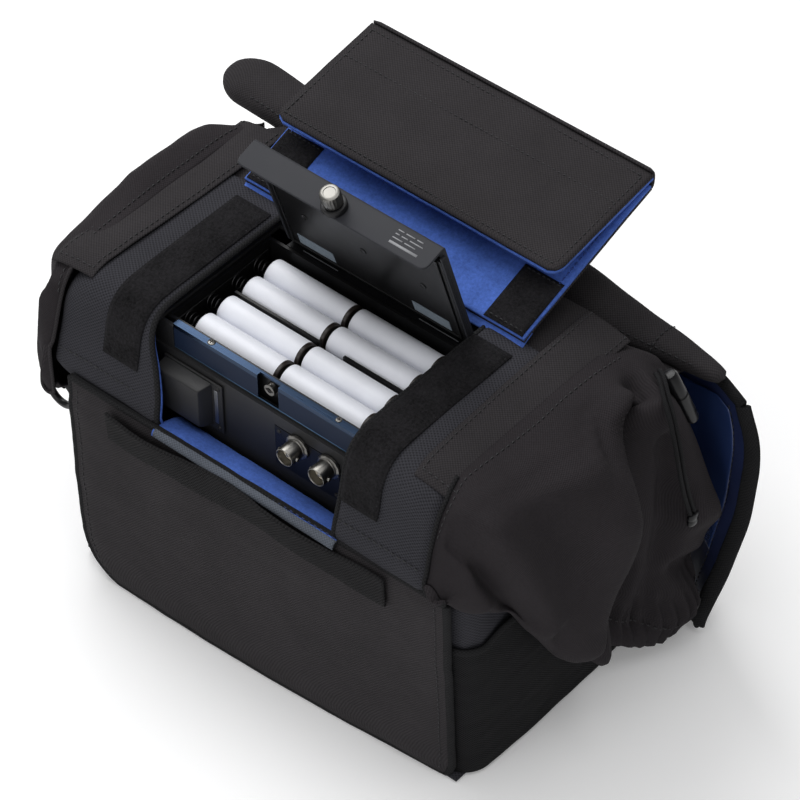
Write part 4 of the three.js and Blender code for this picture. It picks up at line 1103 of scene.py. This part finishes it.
SLEEVE_SEAM = [(-36, 161), (-20, 161), (-14, 159.8), (-9, 158.8), (90, 158.8), (104, 159.6), (113, 167),
               (122, 184.5)]
SLEEVE_INNER = [(-24, 162), (-10, 176), (4, 184.5)]
# Where the one deep fold lies, as y against z.
CREASE = [(-118, 12), (-88, 22), (-63, 28), (-44, 33), (-13, 40), (3, 50), (10, 59), (14.3, 68), (16.6, 83)]


def ridge(y, z, line, width):
    """A Gaussian across a polyline in the sleeve's (y, z) plane, fading past its ends."""
    best = math.inf
    for (ya, za), (yb, zb) in zip(line, line[1:]):
        dy, dz = yb - ya, zb - za
        t = clamp(((y - ya) * dy + (z - za) * dz) / (dy * dy + dz * dz))
        best = min(best, (y - ya - t * dy) ** 2 + (z - za - t * dz) ** 2)
    return math.exp(-best / (2 * width * width))


def folded(y, z, folds):
    return sum(height * ridge(y, z, line, width) for height, width, line in folds)


def crease(y, z):
    """The deep fold's push out of the cloth (full, then hollow, then full again) and its lean along y."""
    off = y - smoothed(CREASE, z, 5)
    fade = smooth((z + 134) / 26) * smooth((19 - z) / 7)
    push = 5.0 * bell((off + 5) / 7) - 18.0 * bell((off - 9) / 6) - 5.0 * bell((off - 18) / 7)
    return fade * push, fade * 9.0 * bell((off + 1) / 6)


def section_point(section, v):
    run = curve_point(section, v + 0.03) - curve_point(section, v - 0.03)
    return curve_point(section, v), run.normalized()


def sleeve_ends(name, sleeve, steps, rows, bulge, crumple):
    """The cloth that closes each end of a sleeve and swells outwards."""
    for k, way in enumerate((-1, 1)):
        rim = [Vector(sleeve(k, v / steps)) for v in range(steps + 1)]
        middle = sum(rim, Vector()) / len(rim)
        rim.append(rim[0])

        def end_cloth(u, v):
            p = rim[round(u * (steps + 1))].lerp(middle, v * 0.96)
            swell = bulge * math.sin(math.pi * 0.5 * v) + crumple * wrinkle(u * 60, v * 20, 3.0, 5)
            return (p.x, p.y + way * swell, p.z)

        grid(f"{name}_end_{k}", end_cloth, steps + 1, rows, NYLON_SOFT, thick=0.8)


def piping(name, sleeve, reach, shift, radius, material):
    """The roll along the sleeve's near edge: down the seam on top, then round underneath."""
    top = shifted([sleeve(u / 60, 0) for u in range(reach, -1, -1)], shift, -0.6, 0.5)
    under = shifted([sleeve(0, v / 20) for v in range(20, 9, -1)], 0, -0.8, 0)
    tube(name, curve_through(top + under, 90), radius, material)


def right_sleeve(u, v):
    """u runs from the near end to the far one, v from the seam on top round to the seam underneath."""
    y = mix(-35.5, 122.5, u)
    out, low, top = smoothed(SLEEVE_OUT, y, 3), smoothed(SLEEVE_LOW, y, 4), smoothed(SLEEVE_EDGE, y, 3)
    seam, fall = along(SLEEVE_SEAM, y), along(SLEEVE_FALL, y)
    inner = min(along(SLEEVE_INNER, y), out - 4)
    full = smooth((y + 30) / 30)
    outline = [(seam, top), (mix(seam, out, 0.24), top + 0.9),
               (mix(seam, out, 0.5), top - mix(1.5, 0.6, full) - 0.45 * fall),
               (mix(seam, out, 0.85), top - mix(7, 9, full) - fall), (out, mix(top, low, 0.45)),
               (out - 1, mix(top, low, 0.85)),
               (mix(inner, out, 0.7), low), (inner + 1, low + mix(1, 4, full))]
    p, run = section_point(curve_through([(x, 0, z) for x, z in outline], 41), v)
    normal = Vector((-run.z, 0, run.x))
    side = smooth((p.x - seam - 2) / mix(8, 22, full)) * smooth((1 - v) * 6)
    hollow, lean = crease(y, p.z)
    push = folded(y, p.z, FOLDS) + hollow
    gather = smooth((-104 - p.z) / 22) * smooth((y - 44) / 14)
    push += gather * 1.7 * math.sin(y * 1.12 + 2.0 * wrinkle(y, p.z, 3.0, 12))
    lobes = smooth((low + 26 - p.z) / 18) * smooth((60 - y) / 12) * smooth((y + 20) / 10)
    push += lobes * 1.8 * math.sin(y * 0.34 + 1.0)
    push += 1.1 * wrinkle(y, p.z, 7.0, 24, 2.6) + 0.35 * wrinkle(y, p.z, 11.0, 9, 2.0)
    near_end, far_end = smooth(u * 26), smooth((1 - u) * 14)
    p = Vector((170, 0, mix(top, low, 0.5))).lerp(p, 0.84 + 0.16 * near_end)
    p = Vector((186, 0, mix(top, low, 0.5))).lerp(p, 0.62 + 0.38 * far_end)
    p = p + normal * push * side * (0.35 + 0.65 * min(near_end, far_end))
    return (max(p.x, seam - 0.2), y + lean * side * min(near_end, far_end), p.z)


grid("right_sleeve_cloth", right_sleeve, 200, 130, NYLON_SOFT, thick=1.1, offset=1,
               stands_for=("right_sleeve",))
sleeve_ends("right_sleeve", right_sleeve, 60, 16, 2.6, 0.5)
piping("sleeve_piping", right_sleeve, 10, 0.2, 1.0, WEBBING)
stitches("sleeve_gather_stitch", shifted([right_sleeve(u / 60, 0.86) for u in range(34, 60)], 0.4, 0, 0),
         normal=(1, 0, 0), pitch=3.6, length=2.4)
stitches("sleeve_seam_stitch", shifted([right_sleeve(u / 60, 0.035) for u in range(3, 50)], 0, 0, 0.1))

# The left sleeve's section, as (x, z) from the seam on top round to the seam underneath: in full, and
# at its flat near end. SHRINK draws both ends in, and DOME raises its top.
LEFT_SEAM_X = -60.6
LEFT_RING = [(-60.6, 7), (-66, 8.6), (-71.4, 9), (-76, 10.5), (-82, 4), (-85, -14), (-83, -40), (-76, -58),
             (-66, -64), (-60.6, -60)]
LEFT_NEAR = [(-60.6, 7), (-64, 8), (-67, 8.5), (-69.5, 8), (-72, -1), (-73.5, -18), (-76.5, -43),
             (-76, -60), (-67, -67), (-60.6, -62)]
LEFT_DROP = (0, 0.8, 1.6, 1.6, -3, -12, -20, -26, -28, -24)
LEFT_EDGE = [(-36.5, -31), (-32, -21), (-28.5, -10), (-26, -0.5), (-21.6, 6.5), (-17, 11.6), (-9, 15.6),
             (10, 16.4), (104, 16), (110, 12)]
DOME = [(-22, -2), (0, 1), (40, 9), (80, 10), (104, 5)]
SHRINK = [(-36, 0.45), (-34, 0.68), (-32, 0.8), (-22, 0.95), (0, 1), (60, 1), (90, 0.96), (104, 0.8),
          (108, 0.66), (110, 0.5)]
LEFT_FOLDS = [(2.6, 5, [(-30, -10), (-28, -34), (-22, -50)]),
              (-3.4, 4.5, [(-20, 4), (-19, -18), (-15, -40), (-9, -56)]),
              (2.2, 5, [(-9, 2), (-8, -26), (-2, -54)]), (-2.2, 5, [(4, 0), (8, -30), (14, -56)]),
              (-2.0, 7, [(30, 8), (36, -20), (44, -50)]), (2.0, 8, [(52, 14), (58, -14), (64, -46)]),
              (-2.0, 7, [(80, 12), (84, -20), (86, -46)])]


def left_outline(y, full):
    scale, seam = along(SHRINK, y), smoothed(LEFT_EDGE, y, 3)
    ring = []
    for i, ((near_x, near_z), (x, z), drop) in enumerate(zip(LEFT_NEAR, LEFT_RING, LEFT_DROP)):
        raised = mix(near_z, z, full) + (along(DOME, y) if 3 <= i <= 5 else 0)
        height = min(mix(-24, raised, scale), seam + drop + 40 * full)
        ring.append((mix(LEFT_SEAM_X, mix(near_x, x, full), scale), max(-66, height)))
    crest_x, crest = ring[3]
    ring[:3] = [(LEFT_SEAM_X, seam),
                (mix(LEFT_SEAM_X, crest_x, 0.34), mix(seam, crest, mix(0.6, 0.3, full)) + 0.9),
                (mix(LEFT_SEAM_X, crest_x, 0.68), mix(seam, crest, mix(0.95, 0.7, full)) + 0.9)]
    return ring


def left_sleeve(u, v):
    y = mix(-36, 110, u)
    outline = left_outline(y, smooth((y + 36) / 36))
    p, run = section_point(curve_through([(x, 0, z) for x, z in outline], 41), v)
    push = folded(y, p.z, LEFT_FOLDS) * smooth((12 - p.z) / 16)
    push += 0.9 * wrinkle(y, p.z, 2.0, 24, 2.4) + 0.35 * wrinkle(y, p.z, 4.0, 9, 1.6)
    away = Vector((-abs(run.z), 0, abs(run.x) if p.z > -24 else -abs(run.x)))
    p = Vector((p.x, y, p.z)) + away * push * smooth((-61 - p.x) / 10)
    return (min(p.x, -60.5), p.y, p.z)


piping("left_sleeve_piping", left_sleeve, 8, -0.2, 0.9, NYLON)
grid("left_sleeve_cloth", left_sleeve, 120, 80, NYLON_SOFT, thick=1.1,
               stands_for=("left_sleeve",))
sleeve_ends("left_sleeve", left_sleeve, 40, 12, 2.4, 0)
stitches("left_sleeve_seam_stitch", shifted([left_sleeve(u / 60, 0.04) for u in range(4, 56)], 0, 0, 0.15))

# ---- Case: deck, hood, front cover ---------------------------------------------------------
FARWARD = (0, 1, 0)


def deck(u, v):
    x = mix(-56, 137.5, u)
    y = along([(0, 70.6), (0.5, 103), (0.75, 108.8), (1, mix(119.5, 111, u) + 0.8)], v)
    z = along([(0, 14.6), (0.5, 14.0), (0.75, 12.6), (1, 6.2)], v)
    return (x, y, z + 0.5 * wrinkle(x, y, 3.0, 26) - 0.6 * math.sin(math.pi * u) * v)


grid("case_deck_cloth", deck, 70, 40, thick=2.4, stands_for=("case_deck",))

HOOD_START, HOOD_END = -107, 195
HOOD_FAR = [(-107, 137.5), (100, 128.5), (203, 122.5)]
HOOD_NEAR = [(-107, 123.2), (60, 116.2), (100, 114), (120, 112.5), (130, 112.8), (141, 115.5), (164, 121),
             (178, 125.5), (194, 129)]
HOOD_Z = [(-107, 3), (100, 0), (150, -5), (194, -11)]
HOOD_HIGH = [(120, 8.2), (165, 6.4), (203, 3.2)]


def rounded(t):
    return math.sqrt(clamp(1 - (1 - t) ** 2))


def hood(u, v):
    """u goes round the section, v along the hood from its left tip to its right end."""
    x = mix(HOOD_START, HOOD_END, v)
    left, right = clamp((x - HOOD_START) / 17), clamp((HOOD_END - x) / 12)
    near, far = smoothed(HOOD_NEAR, x, 14), smoothed(HOOD_FAR, x, 20) + 14.3
    wide = (far - near) / 2 * rounded(left) ** 0.9 * rounded(right) ** 0.5
    high = along(HOOD_HIGH, x) * rounded(left) ** 0.7 * rounded(right) ** 0.7
    c, s = math.cos(2 * math.pi * u), math.sin(2 * math.pi * u)
    c, s = math.copysign(abs(c) ** 0.8, c), math.copysign(abs(s) ** 0.9, s)
    y = (near + far) / 2 + wide * c
    z = smoothed(HOOD_Z, x, 20) + high * s
    slack = 0.7 * wrinkle(x, 2 * math.pi * u * 12, 2.0, 20) * min(left, right)
    dent = 0.8 * bell((x + 60 - 0.4 * (y - 130)) / 2.2) if s > 0 else 0
    return (x, y + slack * c, z + slack * s - dent)


grid("sun_hood_cloth", hood, 48, 150, stands_for=("sun_hood",), closed_u=True)
for k, x in enumerate((-60, 160)):
    v = (x - HOOD_START) / (HOOD_END - HOOD_START)
    stitches(f"hood_seam_{k}", shifted([hood(u / 48, v) for u in range(25)], 2.2, 0, 0.15), pitch=3.0,
             normal=lambda p: (0, (p.y - 130) / 14, 0.6))
stitches("hood_edge_stitch", shifted([hood(0.40, k / 120) for k in range(10, 116)], 0, -0.1, 0.12),
         normal=(0, -0.7, 0.7), pitch=3.4)

COVER_LEFT, COVER_HIGH, COVER_LOW = -56, -14, -152
COVER_TOP = [(90, -12), (150, -17), (176, -20), (190, -16), (206, -20)]
COVER_RIGHT = [(-152, 202), (-118, 209), (-76, 216.5), (-40, 217), (-24, 213.5), (-14, 204)]
COVER_PULL = [(-152, 24), (-118, 13), (-76, 8), (-16, 5)]


def cover(u, v, back=0.0):
    """The hanging front cover, whose right end curls towards the case."""
    x = mix(COVER_LEFT, smoothed(COVER_RIGHT, mix(COVER_HIGH, COVER_LOW, v), 7), u)
    z = mix(along(COVER_TOP, x), COVER_LOW, v)
    curl = max(0.0, (x - 178) / 24) ** 1.25
    y = 137.4 + back - curl * smoothed(COVER_PULL, z, 8)
    corner = smooth((-48 - x) / 10) * smooth((v - 0.9) * 8)
    return (x, y - 0.8 * wrinkle(x, z, 5.0, 34) * smooth(v * 4), z + 4 * corner)


def cover_lining(u, v):
    x, y, z = cover(u, v)
    return (x, y + 0.5 * wrinkle(u * 250, v * 70, 2.0, 9), z)


def vinyl(u, v):
    x, y, z = cover(mix(0.1, 0.955, u), mix(0.06, 0.72, v))
    streak = 0.7 * math.sin(x * 0.22 + 3 * wrinkle(x, z, 1.0, 30)) * (0.4 + 0.6 * abs(wrinkle(x, z, 3.0, 50)))
    return (x, y - 0.9 - 0.5 * abs(streak) - 0.4 * abs(wrinkle(x, z * 0.35, 6.0, 12)), z)


grid("front_cover_outer", lambda u, v: cover(u, v, 2.4), 96, 64, body="front_cover_body", thick=1.2,
               stands_for=("front_cover",))
grid("front_cover_lining", cover_lining, 140, 90, LINING_NAVY, "front_cover_body", thick=1.0,
               offset=1)
grid("front_cover_window", vinyl, 140, 70, VINYL, "front_cover_body", thick=0.3, offset=1)
for k, edge in enumerate((lambda t: (t, 0), lambda t: (1, t), lambda t: (1 - t, 1), lambda t: (0, 1 - t))):
    side = [cover(*edge(i / 60), 1.2) for i in range(61)]
    tube(f"cover_binding_{k}", curve_through(side, 110), 4.6, body="front_cover_body", sides=16, up=FARWARD,
         squash=0.42)
stitches("cover_stitch", shifted([cover(0.955, v / 60) for v in range(3, 58)], 0, -0.2, 0),
         body="front_cover_body", normal=NEARWARD)
for k, v in enumerate((0.045, 0.955)):
    stitches(f"cover_stitch_outer_{k}", [cover(0.03 + 0.92 * u / 60, v, 2.5) for u in range(61)],
             body="front_cover_body", normal=FARWARD)

HANG = curve_through([(0, 120, 2.5), (0, 126, -1.5), (0, 133, -5), (0, 138, -9), (0, 139.2, -13.5),
                      (0, 139.2, -19)], 30)


def cover_root(u, v):
    x = mix(-53, 176, u)
    p = curve_point(HANG, v)
    reach = along([(-41, 0), (137, -8), (205, -10)], x) * (1 - v)
    return (x, p.y + reach + 0.4, p.z + along([(90, 0), (150, -5), (205, -12)], x))


root_cloth = grid("front_cover_root", cover_root, 70, 30, thick=1.0)
root_cloth.parent = None
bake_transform(root_cloth)

# ---- Case: top flap ------------------------------------------------------------------------
ROOT_Y, ROOT_Z = 68, 18
FOLD_Y, FOLD_Z = 160, 49
SLOPE = math.atan2(FOLD_Z - ROOT_Z, FOLD_Y - ROOT_Y)
DROP = math.radians(9)
X0, X1 = -34.0, 131.0


def F(x, back, up):
    """A point of the lower flap: `back` from its root, `up` from its underside."""
    return (x, ROOT_Y + back * math.cos(SLOPE) - up * math.sin(SLOPE),
            ROOT_Z + back * math.sin(SLOPE) + up * math.cos(SLOPE))


def G(x, back, up):
    """A point of the upper flap: `back` from the fold towards the free edge, `up` from the fold line."""
    return (x, FOLD_Y - back * math.cos(DROP) - up * math.sin(DROP),
            FOLD_Z - back * math.sin(DROP) + up * math.cos(DROP))


def flap_sheet(place, length, low, up, bow, seed, radius=0.0):
    """One cloth of a flap half; its free corners are rounded to radius."""
    def surface(u, v):
        x, back = mix(X0, X1, u), mix(low, length, v)
        corner = clamp((back - length + 7) / 7)
        inset = radius * (1 - math.sqrt(clamp(1 - corner ** 2)))
        x = mix(X0 + inset, X1 - inset, u)
        edge = smooth(min(u, 1 - u) * 30) * smooth(min(v, 1 - v) * 16)
        return place(x, back, up + bow * edge + 0.5 * wrinkle(x, back, seed, 40)
                     + 0.22 * wrinkle(x, back, seed + 3, 12))
    return surface


LOWER, UPPER = "flap_lower_body", "flap_upper_body"
grid("flap_lower_felt", flap_sheet(F, 95, 1.5, 3.2, 0.5, 1.0), 80, 50, FELT, LOWER,
               thick=1.6, stands_for=("flap_lower",))
grid("flap_lower_back", flap_sheet(F, 95, 1.5, 1.5, 0.0, 1.0), 60, 40, NYLON, LOWER, thick=1.5)
grid("flap_upper_cloth", flap_sheet(G, 69.6, 0.4, 6.4, 0.5, 4.0, 5), 80, 40, NYLON, UPPER,
               thick=1.7, stands_for=("flap_upper",))
grid("flap_upper_felt", flap_sheet(G, 70.2, 0.4, 4.8, 0.0, 4.0, 5), 80, 40, FELT, UPPER,
               thick=1.5)
for k, back in enumerate((4.2, 23.5, 66.2)):
    stitches(f"flap_stitch_{k}", [G(mix(X0 + 3, X1 - 3, t / 60), back, 8.5) for t in range(61)], body=UPPER,
             pitch=3.0)
for k, x in enumerate((X0 + 3.4, X1 - 3.4)):
    stitches(f"flap_side_stitch_{k}", [G(x, mix(4.5, 65.5, t / 30), 8.4) for t in range(31)], body=UPPER,
             pitch=3.0)
    stitches(f"flap_lower_stitch_{k}", [F(x, mix(4, 92, t / 30), 3.9) for t in range(31)], BLUE_THREAD,
             LOWER, pitch=3.0)
for side, x0 in (("left", X0 + 1), ("right", X1 - 23)):
    def hooks(u, v):
        edge = smooth(min(u, 1 - u) * 16) * smooth(min(v, 1 - v) * 16)
        return F(mix(x0, x0 + 22, u), mix(2, 33, v),
                 4.0 + edge * (1.1 + 0.2 * wrinkle(u * 80, v * 120, 2.0, 4)))

    grid(f"flap_hooks_{side}", hooks, 40, 50, PILE, LOWER, thick=0.5,
         stands_for=(f"flap_hook_{side}",))
    for k, v in enumerate((0.06, 0.94)):
        stitches(f"flap_hooks_stitch_{side}_{k}", [hooks(t / 12, v) for t in range(13)], THREAD, LOWER,
                 pitch=2.6, length=1.8)


def fold(u, v):
    """The cloth that wraps the fold between the two halves of the flap."""
    x = mix(X0 + 0.7, X1 - 0.7, u)
    start, end = Vector(F(x, 95, 0.3)), Vector(G(x, 0.2, 8.2))
    middle = (start + end) / 2
    a = math.pi * v
    swell = 2.6 * math.sin(a) * smooth(min(u, 1 - u) * 40 + 0.3)
    return middle + (start - middle) * math.cos(a) + Vector((0, 1, 0.12)).normalized() * swell


FOLD = grid("flap_fold_cloth", fold, 60, 24, NYLON, LOWER, thick=1.3)
FOLD.parent = None
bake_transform(FOLD)

ROOT_LINE = curve_through([(0, 66.8, 15.2), (0, 67.6, 16.6), (0, 68.8, 18.0), (0, 71.0, 19.6),
                           (0, 74.5, 21.2)], 16)


def root(u, v):
    p = curve_point(ROOT_LINE, v)
    return (mix(X0, X1, u), p.y, p.z)


ROOT = grid("flap_root_cloth", root, 50, 14, FELT, thick=1.2)
ROOT.parent = None
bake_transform(ROOT)

# ---- Case: ring ----------------------------------------------------------------------------
RING_RADIUS, WIRE_RADIUS = 8, 1.9
RING_STEPS, WIRE_SIDES = 72, 14
ring_low, ring_high = (Vector(corner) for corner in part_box("d_ring"))
RX, RY, RZ = ((ring_low + ring_high) / 2 - DATUM) / MM
ring_points, ring_quads = [], []
for k in range(RING_STEPS):
    a = 2 * math.pi * k / RING_STEPS
    out = Vector((math.cos(a), 0, math.sin(a)))
    centre = Vector((RX, RY, RZ)) + out * RING_RADIUS
    for j in range(WIRE_SIDES):
        b = 2 * math.pi * j / WIRE_SIDES
        ring_points.append(centre + out * WIRE_RADIUS * math.cos(b)
                           + Vector((0, WIRE_RADIUS, 0)) * math.sin(b))
        here, there = k * WIRE_SIDES, (k + 1) % RING_STEPS * WIRE_SIDES
        after = (j + 1) % WIRE_SIDES
        ring_quads.append((here + j, there + j, there + after, here + after))
mesh_object("strap_ring", ring_points, ring_quads, GLOSS, "d_ring_body", stands_for=("d_ring",))
TAB_Z = RZ + RING_RADIUS
TAB = curve_through([(0, 3.0, 4.2), (0, 3.2, 1.0), (0, 2.9, -1.4), (0, 1.8, -2.9), (0, 0, -3.5),
                     (0, -1.8, -2.9), (0, -2.9, -1.4), (0, -3.2, 1.0), (0, -3.0, 4.2)], 50)


def ring_webbing(u, v):
    p = curve_point(TAB, v)
    return (RX + mix(-3.4, 3.4, u), RY + p.y, TAB_Z + p.z)


grid("ring_webbing", ring_webbing, 12, 60, WEBBING, thick=0.7,
     stands_for=("d_ring_tab",))
stitches("ring_webbing_stitch", [(RX + mix(-2.8, 2.8, t / 8), RY - 3.3, TAB_Z + 3.4) for t in range(9)],
         pitch=1.8, length=1.2, normal=NEARWARD)
